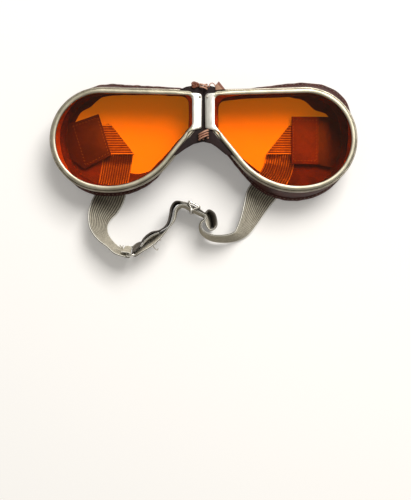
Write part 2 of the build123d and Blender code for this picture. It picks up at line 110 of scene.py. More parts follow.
def addNode(tree, kind, settings=None, links=None):
    # settings holds properties or socket values, links holds socket names and what feeds them
    node = tree.nodes.new(kind)
    for name, value in (settings or {}).items():
        if isinstance(name, str) and hasattr(node, name):
            setattr(node, name, value)
        else:
            node.inputs[name].default_value = value
    for name, source in (links or {}).items():
        tree.links.new(source, node.inputs[name])
    return node


def newMaterial(name, settings):
    material = bpy.data.materials.new(name)
    material.use_nodes = True
    shader = material.node_tree.nodes["Principled BSDF"]
    for socket, value in settings.items():
        shader.inputs[socket].default_value = value
    return material, material.node_tree, shader


def objectPoint(tree):
    return addNode(tree, "ShaderNodeTexCoord").outputs["Object"]


def noiseOf(tree, point, size, detail=3.0, roughness=0.55, stretch=None):
    # size is that of one blotch in millimetres
    if stretch:
        point = addNode(tree, "ShaderNodeMapping", {"Scale": stretch}, {"Vector": point}).outputs[0]
    return addNode(
        tree, "ShaderNodeTexNoise",
        {"Scale": 1 / (size * mm), "Detail": detail, "Roughness": roughness}, {"Vector": point},
    ).outputs["Fac"]


def ramp(tree, value, stops):
    node = addNode(tree, "ShaderNodeValToRGB", None, {"Fac": value})
    elements = node.color_ramp.elements
    while len(elements) < len(stops):
        elements.new(0.5)
    for element, (position, color) in zip(elements, stops):
        element.position = position
        element.color = hexColor(color) if isinstance(color, str) else (color, color, color, 1)
    return node.outputs["Color"]


def blendColors(tree, factor, first, second, mode="MIX"):
    node = addNode(tree, "ShaderNodeMix", {"data_type": "RGBA", "blend_type": mode})
    for socket, source in ((0, factor), (6, first), (7, second)):
        if isinstance(source, (int, float)):
            node.inputs[socket].default_value = source
        elif isinstance(source, str):
            node.inputs[socket].default_value = hexColor(source)
        else:
            tree.links.new(source, node.inputs[socket])
    return node.outputs[2]


def bump(tree, shader, height, depth, strength=1.0, before=None):
    links = {"Height": height}
    if before:
        links["Normal"] = before
    node = addNode(tree, "ShaderNodeBump", {"Distance": depth * mm, "Strength": strength}, links)
    tree.links.new(node.outputs[0], shader.inputs["Normal"])
    return node.outputs[0]


def satinMetal(name, dark, light, roughness, scratch=0.02):
    # Pressed sheet metal with its plating worn: soft reflections, dull blotches, fine rubbing marks
    material, tree, shader = newMaterial(name, {"Metallic": 1.0})
    point = objectPoint(tree)
    blotches = noiseOf(tree, point, 9.0, 4.0)
    tree.links.new(ramp(tree, blotches, [(0.3, dark), (0.7, light)]), shader.inputs["Base Color"])
    rubbed = noiseOf(tree, point, 1.6, 5.0, 0.6, (1, 0.35, 1))
    tree.links.new(
        ramp(tree, rubbed, [(0.25, roughness - 0.07), (0.8, roughness + 0.14)]),
        shader.inputs["Roughness"])
    bump(tree, shader, noiseOf(tree, point, 0.9, 6.0, 0.7), scratch)
    return material


def grainLeather(name, dark, light, grain, roughness, wrinkle=0.12, sheen=0.0, gloss=0.5):
    # Dyed hide: pebbled grain, darker creases and a dull waxed gloss
    material, tree, shader = newMaterial(
        name, {"Roughness": roughness, "Sheen Weight": sheen, "Specular IOR Level": gloss})
    point = objectPoint(tree)
    blotches = noiseOf(tree, point, 7.0, 5.0, 0.65)
    color = ramp(tree, blotches, [(0.28, dark), (0.72, light)])
    cells = addNode(
        tree, "ShaderNodeTexVoronoi", {"feature": "DISTANCE_TO_EDGE", "Scale": 1 / (grain * mm)},
        {"Vector": point}).outputs["Distance"]
    pores = ramp(tree, cells, [(0.0, 0.25), (0.35, 1.0)])
    color = blendColors(tree, 0.45, color, pores, "MULTIPLY")
    tree.links.new(color, shader.inputs["Base Color"])
    creases = bump(tree, shader, noiseOf(tree, point, 2.4, 4.0, 0.6), wrinkle)
    bump(tree, shader, cells, 0.09, 0.8, creases)
    return material


def makeAmberGlass():
    # Flat tinted glass: clear, deep amber, a thin mirror gloss, and amber light cast through it.
    # Its IOR is matched to the faint reflections in old thin lenses, below glass's usual 1.5
    material, tree, shader = newMaterial("amberSheetGlass", {
        "Base Color": hexColor("FF9D00"), "Roughness": 0.0, "IOR": 1.3, "Transmission Weight": 1.0})
    path = addNode(tree, "ShaderNodeLightPath")
    cast = addNode(tree, "ShaderNodeBsdfTransparent", {"Color": hexColor("FFD060")})
    glass = addNode(tree, "ShaderNodeMixShader", None, {
        "Fac": path.outputs["Is Shadow Ray"], 1: shader.outputs[0], 2: cast.outputs[0]})
    tree.links.new(glass.outputs[0], tree.nodes["Material Output"].inputs["Surface"])
    return material


def attributeOf(tree, name):
    return addNode(tree, "ShaderNodeAttribute", {"attribute_name": name}).outputs["Fac"]


# Distance between weft threads in millimetres, and the colours of selvedge and of the painted shade
# and darkening
webbingLooks = {"weft": 0.62, "selvedge": "F4F1E6", "foldShadeAndDarkening": "33261C"}


def makeWebbing(name, dark, light):
    # Woven elastic: yarn over rubber threads, crossed by fine weft that has greyed with dust
    material, tree, shader = newMaterial(name, {"Roughness": 0.85, "Sheen Weight": 0.15})
    point = objectPoint(tree)
    color = ramp(tree, noiseOf(tree, point, 3.2, 5.0, 0.7), [(0.25, dark), (0.75, light)])
    color = blendColors(tree, attributeOf(tree, "selvedge"), color, webbingLooks["selvedge"])
    # The crease attribute paints shade below the folds and darkens set stretches of the length
    color = blendColors(tree, attributeOf(tree, "crease"), color, webbingLooks["foldShadeAndDarkening"])
    turns = addNode(
        tree, "ShaderNodeMath", {"operation": "MULTIPLY", 1: math.tau / webbingLooks["weft"]},
        {0: attributeOf(tree, "along")})
    weft = addNode(tree, "ShaderNodeMath", {"operation": "SINE"}, {0: turns.outputs[0]}).outputs[0]
    shade = ramp(tree, weft, [(0.0, 0.78), (0.9, 1.0)])
    tree.links.new(blendColors(tree, 0.6, color, shade, "MULTIPLY"), shader.inputs["Base Color"])
    fuzz = bump(tree, shader, noiseOf(tree, point, 0.35, 2.0), 0.1)
    bump(tree, shader, weft, 0.05, 0.7, fuzz)
    return material


# Greyed nickel with soft, broken highlights, and the nose plates' sheet painted brighter, a painted
# reflection of the bright sky
rimMetal = satinMetal("satinNickelPlatedSheet", "9A9582", "BFB9A5", 0.41)
platePaintedBrightMetal = satinMetal("nosePlatePaintedBright", "D4D2CA", "F2F0EA", 0.36)
# Duller band below, wire that still shines, and grey rivet heads
clampMetal = satinMetal("dullRolledBand", "8F8778", "C4BCAC", 0.34)
strapMetal = satinMetal("brightDrawnWire", "C2BEB4", "EFECE4", 0.22)
rivetMetal = satinMetal("flatTinnedRivet", "6F6A62", "9A948A", 0.4)
amberGlass = makeAmberGlass()
# Oxblood hide outside, and a warmer, lighter leather inside, partly its own tone and partly painted
# light on the inner walls seen through the glass
cupLeather = grainLeather("waxedCupHide", "2C100C", "5C291F", 0.7, 0.6, gloss=0.3)
liningPaintedLitLeather = grainLeather("cupLiningPaintedLit", "A0573F", "C67A5C", 0.5, 0.8, 0.15, sheen=0.2)
# Soft wrinkled pads and near-black flaps
padLeather = grainLeather(
    "softFacePadHide", "30100D", "5E2820", 0.6, 0.66, 0.2, sheen=0.08, gloss=0.3)
flapLeather = grainLeather("thinNoseFlapHide", "120807", "2C1512", 0.6, 0.72, 0.2, gloss=0.3)
# Brown tabs, and a darker copy painted on as shade: all of the left tab, and the right tab's end
# towards the pad
tabLeather = grainLeather("sewnTabHide", "482419", "703C2B", 0.8, 0.55)
tabPaintedShadeLeather = grainLeather("tabHidePaintedShade", "2C1C16", "4A3026", 0.8, 0.5)
# Rawhide: brown at the knot, pink and pale where it is wound or cut; the knot's brown also paints
# shade on the cut end's far slope
knotAndPaintedShadeLeather = grainLeather("rawhideKnotAndPaintedShade", "5A2E20", "94583E", 0.5, 0.6, 0.1)
laceLeather = grainLeather("rawhideLacing", "AE7258", "E4B498", 0.5, 0.6, 0.1)
endLeather = grainLeather("bleachedThongEnd", "B98468", "E2B598", 0.5, 0.6, 0.1)
# Pale ribs over a darker ground, partly its own tone and partly painted shade in the grooves
# between the ribs
webbingCloth = makeWebbing("elasticWebbingRibs", "A69E8B", "D3CBB7")
webbingGroundAndGrooveShade = makeWebbing("elasticWebbingGroundGrooveShade", "47443C", "6B675C")
# Dull tan thread, and a seal that reads as a dark line round the glass
threadCloth = newMaterial("cottonSewingThread", {
    "Base Color": hexColor("8A7F6C"), "Roughness": 0.8})[0]
gasketRubber = newMaterial("blackSealRubber", {
    "Base Color": hexColor("1C1815"), "Roughness": 0.7})[0]
print("materials made")


# Meshes

def newObject(name, points, faces, material, edges=(), sharp=40.0):
    # points are millimetres about the eye line
    mesh = bpy.data.meshes.new(name)
    mesh.from_pydata([place(*point) for point in points], list(edges), faces)
    if faces:
        shell = bmesh.new()
        shell.from_mesh(mesh)
        bmesh.ops.recalc_face_normals(shell, faces=shell.faces)
        shell.to_mesh(mesh)
        shell.free()
        mesh.shade_smooth()
        mesh.set_sharp_from_angle(angle=math.radians(sharp))
    if material:
        mesh.materials.append(material)
    return addObject(name, mesh)


def tube(rings, start=0):
    # Faces between rings that close on themselves both ways
    count, around = len(rings), len(rings[0])
    faces = []
    for i in range(count):
        for j in range(around):
            k, m = (i + 1) % count, (j + 1) % around
            faces.append((start + i * around + j, start + i * around + m,
                          start + k * around + m, start + k * around + j))
    return [point for ring in rings for point in ring], faces


def mirrored(points, side):
    return points if side > 0 else [(-x, y, z) for x, y, z in points]


def applyModifiers(piece):
    depsgraph = bpy.context.evaluated_depsgraph_get()
    mesh = bpy.data.meshes.new_from_object(piece.evaluated_get(depsgraph))
    piece.modifiers.clear()
    piece.data = mesh
    return piece


def easeEdges(piece, width, angle=30.0):
    edge = piece.modifiers.new("easedEdges", "BEVEL")
    edge.width, edge.segments = width * mm, 3
    edge.limit_method, edge.angle_limit = "ANGLE", math.radians(angle)
    applyModifiers(piece)
    piece.data.shade_smooth()
    piece.data.set_sharp_from_angle(angle=math.radians(40))
    return piece


def carry(piece, body):
    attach(piece, body)
    return piece


def eyepiece(side):
    return "right_eyepiece" if side > 0 else "left_eyepiece"


def sideName(side):
    return "right" if side > 0 else "left"


# Geometry trees: one sweeps threads and ribs, one sews stitches

def newTree(name, inputs):
    tree = bpy.data.node_groups.new(name, "GeometryNodeTree")
    tree.interface.new_socket("Geometry", in_out="INPUT", socket_type="NodeSocketGeometry")
    for label, kind in inputs:
        tree.interface.new_socket(label, in_out="INPUT", socket_type=kind)
    tree.interface.new_socket("Geometry", in_out="OUTPUT", socket_type="NodeSocketGeometry")
    return tree, tree.nodes.new("NodeGroupInput"), tree.nodes.new("NodeGroupOutput")


def ribTree():
    # Loose edge lines become round ribs, and the faces between them stay as the web
    tree, start, end = newTree("sweptRibs", [
        ("Rib Radius", "NodeSocketFloat"), ("Rib Sides", "NodeSocketInt"),
        ("Material", "NodeSocketMaterial"), ("Ground Material", "NodeSocketMaterial")])
    flag = addNode(tree, "GeometryNodeInputNamedAttribute", {"data_type": "FLOAT", "Name": "rib"})
    isRib = addNode(
        tree, "FunctionNodeCompare", {"data_type": "FLOAT", "operation": "GREATER_THAN", 1: 0.5},
        {0: flag.outputs[0]})
    split = addNode(
        tree, "GeometryNodeSeparateGeometry", {"domain": "POINT"},
        {"Geometry": start.outputs["Geometry"], "Selection": isRib.outputs[0]})
    lines = addNode(tree, "GeometryNodeMeshToCurve", None, {"Mesh": split.outputs["Selection"]})
    profile = addNode(
        tree, "GeometryNodeCurvePrimitiveCircle", None,
        {"Resolution": start.outputs["Rib Sides"], "Radius": start.outputs["Rib Radius"]})
    ribs = addNode(
        tree, "GeometryNodeCurveToMesh", {"Fill Caps": True},
        {"Curve": lines.outputs[0], "Profile Curve": profile.outputs["Curve"]})
    smooth = addNode(tree, "GeometryNodeSetShadeSmooth", None, {"Geometry": ribs.outputs[0]})
    dyed = addNode(
        tree, "GeometryNodeSetMaterial", None,
        {"Geometry": smooth.outputs[0], "Material": start.outputs["Material"]})
    ground = addNode(
        tree, "GeometryNodeSetMaterial", None,
        {"Geometry": split.outputs["Inverted"], "Material": start.outputs["Ground Material"]})
    both = addNode(tree, "GeometryNodeJoinGeometry")
    tree.links.new(dyed.outputs[0], both.inputs[0])
    tree.links.new(ground.outputs[0], both.inputs[0])
    real = addNode(tree, "GeometryNodeRealizeInstances", None, {"Geometry": both.outputs[0]})
    tree.links.new(real.outputs[0], end.inputs[0])
    return tree


def stitchTree():
    # Short slanted threads, evenly spaced along loose edge lines
    tree, start, end = newTree("runningStitches", [
        ("Spacing", "NodeSocketFloat"), ("Stitch Length", "NodeSocketFloat"),
        ("Thread Radius", "NodeSocketFloat"), ("Material", "NodeSocketMaterial")])
    lines = addNode(tree, "GeometryNodeMeshToCurve", None, {"Mesh": start.outputs["Geometry"]})
    spots = addNode(
        tree, "GeometryNodeCurveToPoints", {"mode": "LENGTH"},
        {"Curve": lines.outputs[0], "Length": start.outputs["Spacing"]})
    size = addNode(
        tree, "ShaderNodeCombineXYZ", None,
        {"X": start.outputs["Thread Radius"], "Y": start.outputs["Thread Radius"],
         "Z": start.outputs["Stitch Length"]})
    bead = addNode(
        tree, "GeometryNodeMeshUVSphere", {"Segments": 6, "Rings": 5, "Radius": 1.0})
    sewn = addNode(
        tree, "GeometryNodeInstanceOnPoints", None,
        {"Points": spots.outputs["Points"], "Instance": bead.outputs["Mesh"],
         "Rotation": spots.outputs["Rotation"], "Scale": size.outputs[0]})
    real = addNode(tree, "GeometryNodeRealizeInstances", None, {"Geometry": sewn.outputs[0]})
    dyed = addNode(
        tree, "GeometryNodeSetMaterial", None,
        {"Geometry": real.outputs[0], "Material": start.outputs["Material"]})
    tree.links.new(dyed.outputs[0], end.inputs[0])
    return tree


def grow(piece, tree, values):
    modifier = piece.modifiers.new(tree.name, "NODES")
    modifier.node_group = tree
    for item in tree.interface.items_tree:
        if item.item_type == "SOCKET" and item.in_out == "INPUT" and item.name in values:
            modifier[item.identifier] = values[item.name]
    return applyModifiers(piece)


sweptRibs = ribTree()
runningStitches = stitchTree()


def linesObject(name, lines, flag=1.0):
    points, edges = [], []
    for line in lines:
        base = len(points)
        points += [tuple(point) for point in line]
        edges += [(base + i, base + i + 1) for i in range(len(line) - 1)]
    piece = newObject(name, points, [], None, edges)
    values = piece.data.attributes.new("rib", "FLOAT", "POINT")
    values.data.foreach_set("value", [flag] * len(points))
    return piece


def sewStitches(name, lines, body, spacing=1.9, length=0.62, radius=0.13):
    piece = linesObject(name, lines)
    grow(piece, runningStitches, {
        "Spacing": spacing * mm, "Stitch Length": length * mm, "Thread Radius": radius * mm,
        "Material": threadCloth})
    return carry(piece, body)


print("geometry trees built")


# Teardrop outlines shared by the rim, band, cup and pad

lensShape = {
    "centreX": 57.7, "centreY": -0.4, "templeRadius": 26.0, "lowerRadius": 40.5, "noseX": 6.4,
    "topAngle": 91.5, "noseTopRadius": 3.2, "noseLowRadius": 3.5,
}
padShape = {
    "centreX": 54.0, "centreY": 0.0, "templeRadius": 33.5, "lowerRadius": 36.5, "noseX": 5.4,
    "topAngle": 95.0, "noseTopRadius": 10.0, "noseLowRadius": 8.0,
}
outlineAngles = {"switch": -74.0, "diagonal": 219.0}
outlineSteps = {
    "temple": 84, "lower": 44, "diagonal": 24, "noseLow": 8, "nose": 14, "noseTop": 12, "brow": 34,
}
rearLift = {1: -0.6, -1: 2.4}


def grown(shape, amount, lift=0.0):
    moved = dict(shape)
    for key in ("templeRadius", "lowerRadius", "noseTopRadius", "noseLowRadius"):
        moved[key] = shape[key] + amount
    moved["noseX"] = shape["noseX"] - amount
    moved["centreY"] = shape["centreY"] + lift
    return moved


def between(first, second, share):
    return {key: first[key] + (second[key] - first[key]) * share for key in first}


def arc(centre, radius, start, stop, steps):
    return [centre + polar(radius, start + (stop - start) * i / steps) for i in range(steps)]


def straight(start, stop, steps):
    return [start.lerp(stop, i / steps) for i in range(steps)]


def cornerArc(point, before, after, radius):
    # Where a rounded corner starts and ends, and its middle
    first, second = (before - point).normalized(), (after - point).normalized()
    half = first.angle(second) / 2
    reach = radius / math.tan(half)
    middle = point + (first + second).normalized() * (radius / math.sin(half))
    return point + first * reach, point + second * reach, middle


def turnAbout(middle, start, stop, steps):
    first, second = start - middle, stop - middle
    angle = first.angle(second)
    points = []
    for i in range(steps):
        share = i / steps
        points.append(middle + (first * math.sin((1 - share) * angle)
                                + second * math.sin(share * angle)) / math.sin(angle))
    return points


def teardrop(shape, amount=0.0):
    # Points of the outline, the same count for every size, from the brow round by the temple
    moved, steps = grown(shape, amount), outlineSteps
    switch, diagonal = outlineAngles["switch"], outlineAngles["diagonal"]
    centre = Vector((moved["centreX"], moved["centreY"], 0))
    lowCentre = centre - polar(moved["lowerRadius"] - moved["templeRadius"], switch)
    top = centre + polar(moved["templeRadius"], moved["topAngle"])
    low = lowCentre + polar(moved["lowerRadius"], diagonal)
    noseX = moved["noseX"]
    fall = math.tan(math.radians(diagonal - 180))
    slope = math.tan(math.radians(moved["topAngle"] - 90))
    noseLow = Vector((noseX, low.y + (low.x - noseX) / fall, 0))
    noseTop = Vector((noseX, top.y - (top.x - noseX) * slope, 0))
    lowIn, lowOut, lowMiddle = cornerArc(noseLow, low, noseTop, moved["noseLowRadius"])
    topIn, topOut, topMiddle = cornerArc(noseTop, noseLow, top, moved["noseTopRadius"])
    points = arc(centre, moved["templeRadius"], moved["topAngle"], switch, steps["temple"])
    points += arc(lowCentre, moved["lowerRadius"], 360 + switch, diagonal, steps["lower"])
    points += straight(low, lowIn, steps["diagonal"])
    points += turnAbout(lowMiddle, lowIn, lowOut, steps["noseLow"])
    points += straight(lowOut, topIn, steps["nose"])
    points += turnAbout(topMiddle, topIn, topOut, steps["noseTop"])
    points += straight(topOut, top, steps["brow"])
    return points


# The outline's points that the nose plate takes over, from low on the diagonal to the brow
diagonalEnd = outlineSteps["temple"] + outlineSteps["lower"] + outlineSteps["diagonal"]
browStart = diagonalEnd + outlineSteps["noseLow"] + outlineSteps["nose"] + outlineSteps["noseTop"]
noseRange = range(diagonalEnd - 6, browStart + 5)


def atHeight(ring, z):
    return [(point.x, point.y, z) for point in ring]


def flatBand(inner, outer, low, high, start):
    # Closed band of rectangular section between two outlines
    return tube([atHeight(inner, low), atHeight(inner, high), atHeight(outer, high),
                 atHeight(outer, low)], start)


# Rim: front sheet with its nose plate, and the skirt behind it

rimSizes = {
    "band": 2.4, "sheet": 0.8, "skirt": 0.8, "front": 27.0, "skirtLow": 24.0, "dome": 0.12,
    "plateGap": 0.8, "plateTop": 25.3, "plateLow": 5.6, "plateSlant": 1.9, "plateRound": 2.0,
    "plateDrop": 0.5, "plateFoot": 1.7, "plateCorner": 0.9, "browReach": 4.4, "browRise": 0.72,
    "roundEdge": 0.3, "skirtOverlap": 0.1, "skirtInset": 0.02,
    "bendFrom": 0.6, "plateFrom": 0.1,
}


def plateEdge(sizes, count):
    # The plate's outline from its foot on the lower band up to the brow band
    gap, low = sizes["plateGap"], sizes["plateLow"]
    foot = Vector((lensShape["noseX"] + sizes["plateFoot"], low - sizes["plateSlant"] * 0.9, 0))
    lowCorner = Vector((gap + 0.2, low, 0))
    topCorner = Vector((gap, sizes["plateTop"], 0))
    brow = Vector((
        lensShape["noseX"] + sizes["browReach"], sizes["plateTop"] + sizes["browRise"], 0))
    lowIn, lowOut, lowMiddle = cornerArc(lowCorner, foot, topCorner, sizes["plateCorner"])
    topIn, topOut, topMiddle = cornerArc(topCorner, lowCorner, brow, sizes["plateRound"])
    path = straight(foot, lowIn, 8) + turnAbout(lowMiddle, lowIn, lowOut, 6)
    path += straight(lowOut, topIn, 20) + turnAbout(topMiddle, topIn, topOut, 10)
    path += straight(topOut, brow, 10) + [brow]
    return resample(path, count)


def resample(path, count):
    lengths = [0.0]
    for a, b in zip(path, path[1:]):
        lengths.append(lengths[-1] + (b - a).length)
    points, j = [], 0
    for i in range(count):
        target = lengths[-1] * i / (count - 1)
        while j < len(path) - 2 and lengths[j + 1] < target:
            j += 1
        span = lengths[j + 1] - lengths[j]
        points.append(path[j].lerp(path[j + 1], (target - lengths[j]) / span if span else 0))
    return points


def rimOutline(sizes):
    # Outer edge of the front sheet: the band, swelling into the plate at the nose
    outer = teardrop(lensShape, sizes["band"])
    plate = plateEdge(sizes, len(noseRange))
    for i, point in zip(noseRange, plate):
        outer[i] = point
    return outer


def makeRim(side, sizes):
    inner, outer = teardrop(lensShape), rimOutline(sizes)
    front, sheet, dome = sizes["front"], sizes["sheet"], sizes["dome"]
    bend = lensShape["noseX"] + sizes["bendFrom"]
    profile = [
        (0.0, -sheet), (0.0, -0.32), (0.035, -0.14), (0.11, -0.02), (0.3, dome * 0.8),
        (0.55, dome), (0.78, dome * 0.6), (0.9, -0.04), (0.97, -0.2), (1.0, -0.42),
        (1.0, -sheet), (0.5, -sheet),
    ]
    rings = []
    for share, rise in profile:
        ring = []
        for a, b in zip(inner, outer):
            width = (b - a).length
            # edges keep their real roundness where the sheet widens into the plate
            edge = min(share * sizes["band"], (1 - share) * sizes["band"])
            if edge < sizes["roundEdge"]:
                across = edge / width if share < 0.5 else 1 - edge / width
            else:
                across = share
            point = a.lerp(b, across)
            drop = sizes["plateDrop"] * ease(bend, sizes["plateGap"], point.x)
            ring.append((point.x, point.y, front + rise - drop))
        rings.append(ring)
    points, faces = tube(rings)
    skirtIn = teardrop(lensShape, sizes["band"] - sizes["skirt"])
    skirtOut = teardrop(lensShape, sizes["band"] - sizes["skirtInset"])
    more, moreFaces = flatBand(
        skirtIn, skirtOut, sizes["skirtLow"], front - sheet + sizes["skirtOverlap"], len(points))
    piece = newObject(sideName(side) + "RimSheet", mirrored(points + more, side),
                      faces + moreFaces, rimMetal, sharp=50)
    # The nose plates take the brighter copy of the metal, a painted reflection
    piece.data.materials.append(platePaintedBrightMetal)
    for polygon in piece.data.polygons:
        if abs(polygon.center.x) < (lensShape["noseX"] - sizes["plateFrom"]) * mm:
            polygon.material_index = 1
    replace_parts(piece, sideName(side) + "_rim")
    return carry(piece, eyepiece(side))


clampSizes = {"gap": 0.2, "wall": 1.0, "top": 25.0, "height": 3.4, "shelf": 0.8,
              "shelfTop": 23.9, "shelfLap": 0.3}


def makeClamp(side, sizes):
    # Rolled band round the rim: a beaded upper edge and an inner shelf under the lens
    inner = rimSizes["band"] + sizes["gap"]
    wall, top, low = sizes["wall"], sizes["top"], sizes["top"] - sizes["height"]
    profile = [
        (inner, low), (inner, top - 0.3), (inner + 0.12, top - 0.05), (inner + 0.4, top + 0.08),
        (inner + 0.75, top), (inner + wall, top - 0.25), (inner + wall + 0.03, top - 0.6),
        (inner + wall - 0.12, top - 0.95), (inner + wall - 0.05, top - 1.4),
        (inner + wall, low + 0.3), (inner + wall - 0.2, low),
    ]
    points, faces = tube([atHeight(teardrop(lensShape, out), z) for out, z in profile])
    shelfTop, lap = sizes["shelfTop"], sizes["shelfLap"]
    more, moreFaces = flatBand(teardrop(lensShape, lap), teardrop(lensShape, inner + lap),
                               shelfTop - sizes["shelf"], shelfTop, len(points))
    piece = newObject(sideName(side) + "ClampBand", mirrored(points + more, side),
                      faces + moreFaces, clampMetal, sharp=50)
    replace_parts(piece, sideName(side) + "_clamp_ring")
    return carry(piece, eyepiece(side))


for side in (1, -1):
    makeRim(side, rimSizes)
    makeClamp(side, clampSizes)
print("rims and clamp bands made")


# Lenses and gaskets keep their own solids; rivets are copies with their edges eased

def finishNodes():
    for side in ("right", "left"):
        for node, material in (("lens", amberGlass), ("lens_gasket", gasketRubber)):
            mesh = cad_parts[side + "_" + node].data
            mesh.materials.clear()
            mesh.materials.append(material)


rivetSizes = {"edge": 0.05, "edgeAngle": 35.0, "weld": 0.002, "flatAngle": 1.0}


def makeRivet(side, sizes):
    name, node = sideName(side) + "RivetHead", sideName(side) + "_nose_rivet"
    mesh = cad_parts[node].data.copy()
    mesh.name = name
    shell = bmesh.new()
    shell.from_mesh(mesh)
    bmesh.ops.remove_doubles(shell, verts=shell.verts, dist=sizes["weld"] * mm)
    bmesh.ops.dissolve_limit(shell, angle_limit=math.radians(sizes["flatAngle"]),
                             verts=shell.verts, edges=shell.edges)
    shell.to_mesh(mesh)
    shell.free()
    mesh.materials.clear()
    mesh.materials.append(rivetMetal)
    piece = easeEdges(addObject(name, mesh), sizes["edge"], sizes["edgeAngle"])
    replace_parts(piece, node)
    return carry(piece, eyepiece(side))


finishNodes()
for side in (1, -1):
    makeRivet(side, rivetSizes)
print("lenses, gaskets and rivets dressed")


# Leather cups and face pads

cupSizes = {
    "top": 23.0, "flare": 21.2, "foot": 4.3, "wall": 1.35, "belly": 0.6, "inset": 1.8,
    "crease": 0.35, "fold": 0.55, "foldTurns": 2.3, "creaseTurns": 8, "centreShift": 12,
    "levels": (0, 0.03, 0.08, 0.15, 0.24, 0.34, 0.45, 0.56, 0.67, 0.78, 0.88, 0.95, 1.0),
}
padSizes = {
    "width": 6.5, "height": 4.5, "pucker": 0.16, "puckerTurns": 9,
    "tunnelHeight": 1.95, "tunnelEase": 3.0, "tunnelReach": 14.0,
    "liningLow": 0.03, "liningHigh": 0.24, "wobbleScale": 0.12, "wobble": 1.2, "liningTrim": 0.5,
    "darkLiningBelow": -3, "seamInset": 0.9, "seamHeight": 4.5,
}
# Bulges of the leather, as angle, spread in degrees and reach: the right brow corner is fullest
cornerSwell = {
    1: [(46, 30, 6.1), (82, 26, 1.4), (110, 22, 1.5), (132, 18, 1.3)],
    -1: [(60, 30, -0.2), (95, 30, -0.9), (-54, 28, 1.5)],
}
# How far the lining under the pad reaches in towards the eye
liningReach = {
    1: [(-58, 66, 15.0), (58, 24, 5.4), (-96, 30, 6.0)],
    -1: [(-34, 56, 9.5), (62, 26, 2.6), (-84, 40, 9.0)],
}
# The pad is narrower against the nose
noseNarrow = [(172, 34, 2.8), (-188, 34, 2.8), (140, 26, 1.6)]


def bulge(table, point):
    # Reach of a table's bulges at a point of the outline, and the way out from the middle
    offset = point - Vector((padShape["centreX"], padShape["centreY"], 0))
    angle = math.degrees(math.atan2(offset.y, offset.x))
    reach = sum(out * math.exp(-((angle - middle) / spread) ** 2) for middle, spread, out in table)
    return reach, offset.normalized()


def swellAt(side, point, share):
    reach, outward = bulge(cornerSwell[side], point)
    return outward * (reach * share)


def cupOutline(side, share, inset):
    # Outline of the cup wall at a share of the way from the clamp band down to the pad
    front = grown(lensShape, rimSizes["band"] - inset)
    rear = grown(padShape, -cupSizes["inset"] - inset, rearLift[side])
    swell = cupSizes["belly"] * math.sin(math.pi * min(max(share, 0), 1))
    ring = teardrop(grown(between(front, rear, share), swell))
    return [point + swellAt(side, point, share * share) for point in ring]


def cupWave(side, index, count, share):
    # Soft vertical folds and dents in the hide, nil at the clamp band
    angle = math.tau * index / count
    wide, narrow = cupSizes["foldTurns"], cupSizes["creaseTurns"]
    seed = Vector((math.cos(angle) * wide, math.sin(angle) * wide, share * 0.9 + side * 7))
    fine = Vector((math.cos(angle) * narrow, math.sin(angle) * narrow, share * 2.2 + side * 3))
    wave = noise.noise(seed) * cupSizes["fold"] * 1.6 + noise.noise(fine) * cupSizes["crease"]
    return wave * ease(0.03, 0.5, share) * (1 - 0.6 * ease(0.85, 1.0, share))


def makeCup(side):
    sizes = cupSizes
    levels = sizes["levels"]
    outer, inner = [], []
    for inset, store in ((0.0, outer), (sizes["wall"], inner)):
        for share in levels:
            ring = cupOutline(side, share, inset)
            height = sizes["flare"] + (sizes["foot"] - sizes["flare"]) * share
            centre = Vector((padShape["centreX"] - sizes["centreShift"] * share, 0, 0))
            row = []
            for i, point in enumerate(ring):
                outward = (point - centre).normalized()
                moved = point + outward * cupWave(side, i, len(ring), share)
                row.append((moved.x, moved.y, height))
            store.append(row)
    skirtOut = atHeight(cupOutline(side, 0, 0), sizes["top"])
    skirtIn = atHeight(cupOutline(side, 0, sizes["wall"]), sizes["top"])
    points, faces = tube([skirtOut] + outer + inner[::-1] + [skirtIn])
    piece = newObject(sideName(side) + "LeatherCup", mirrored(points, side), faces, cupLeather,
                      sharp=60)
    # The inner walls take the lighter lining leather, partly painted light
    piece.data.materials.append(liningPaintedLitLeather)
    around = len(skirtOut)
    for polygon in piece.data.polygons:
        if min(polygon.vertices) >= around * (1 + len(levels)):
            polygon.material_index = 1
    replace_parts(piece, sideName(side) + "_cup")
    return carry(piece, eyepiece(side))


# Where each strap passes under its pad, as middle, heading and half width
padCrossings = {
    1: [((37.8, -26.0), (-0.6, -0.8), 10.6)],
    -1: [((54.3, -27.5), (0.2, -0.98), 10.6)],
}


# The pad's section, as shares of the way in and of the height
padProfile = [
    (0.0, 0.5), (0.05, 0.8), (0.16, 0.97), (0.3, 1.06), (0.48, 1.08), (0.66, 1.04),
    (0.83, 0.93), (0.95, 0.72), (1.0, 0.47), (0.96, 0.2), (0.86, 0.05), (0.68, 0.0), (0.5, 0.0),
    (0.32, 0.0), (0.14, 0.05), (0.04, 0.22),
]


def padFloor(side, point):
    # The pad is pushed up where a strap or tab runs under it
    lift = 0.0
    for (x, y), (alongX, alongY), half in padCrossings[side]:
        offset = Vector((point.x - x, point.y - y, 0))
        beside = abs(offset.x * alongY - offset.y * alongX)
        along = abs(offset.x * alongX + offset.y * alongY)
        if along < padSizes["tunnelReach"]:
            lift = max(lift, 1 - ease(half, half + padSizes["tunnelEase"], beside))
    return padSizes["tunnelHeight"] * lift


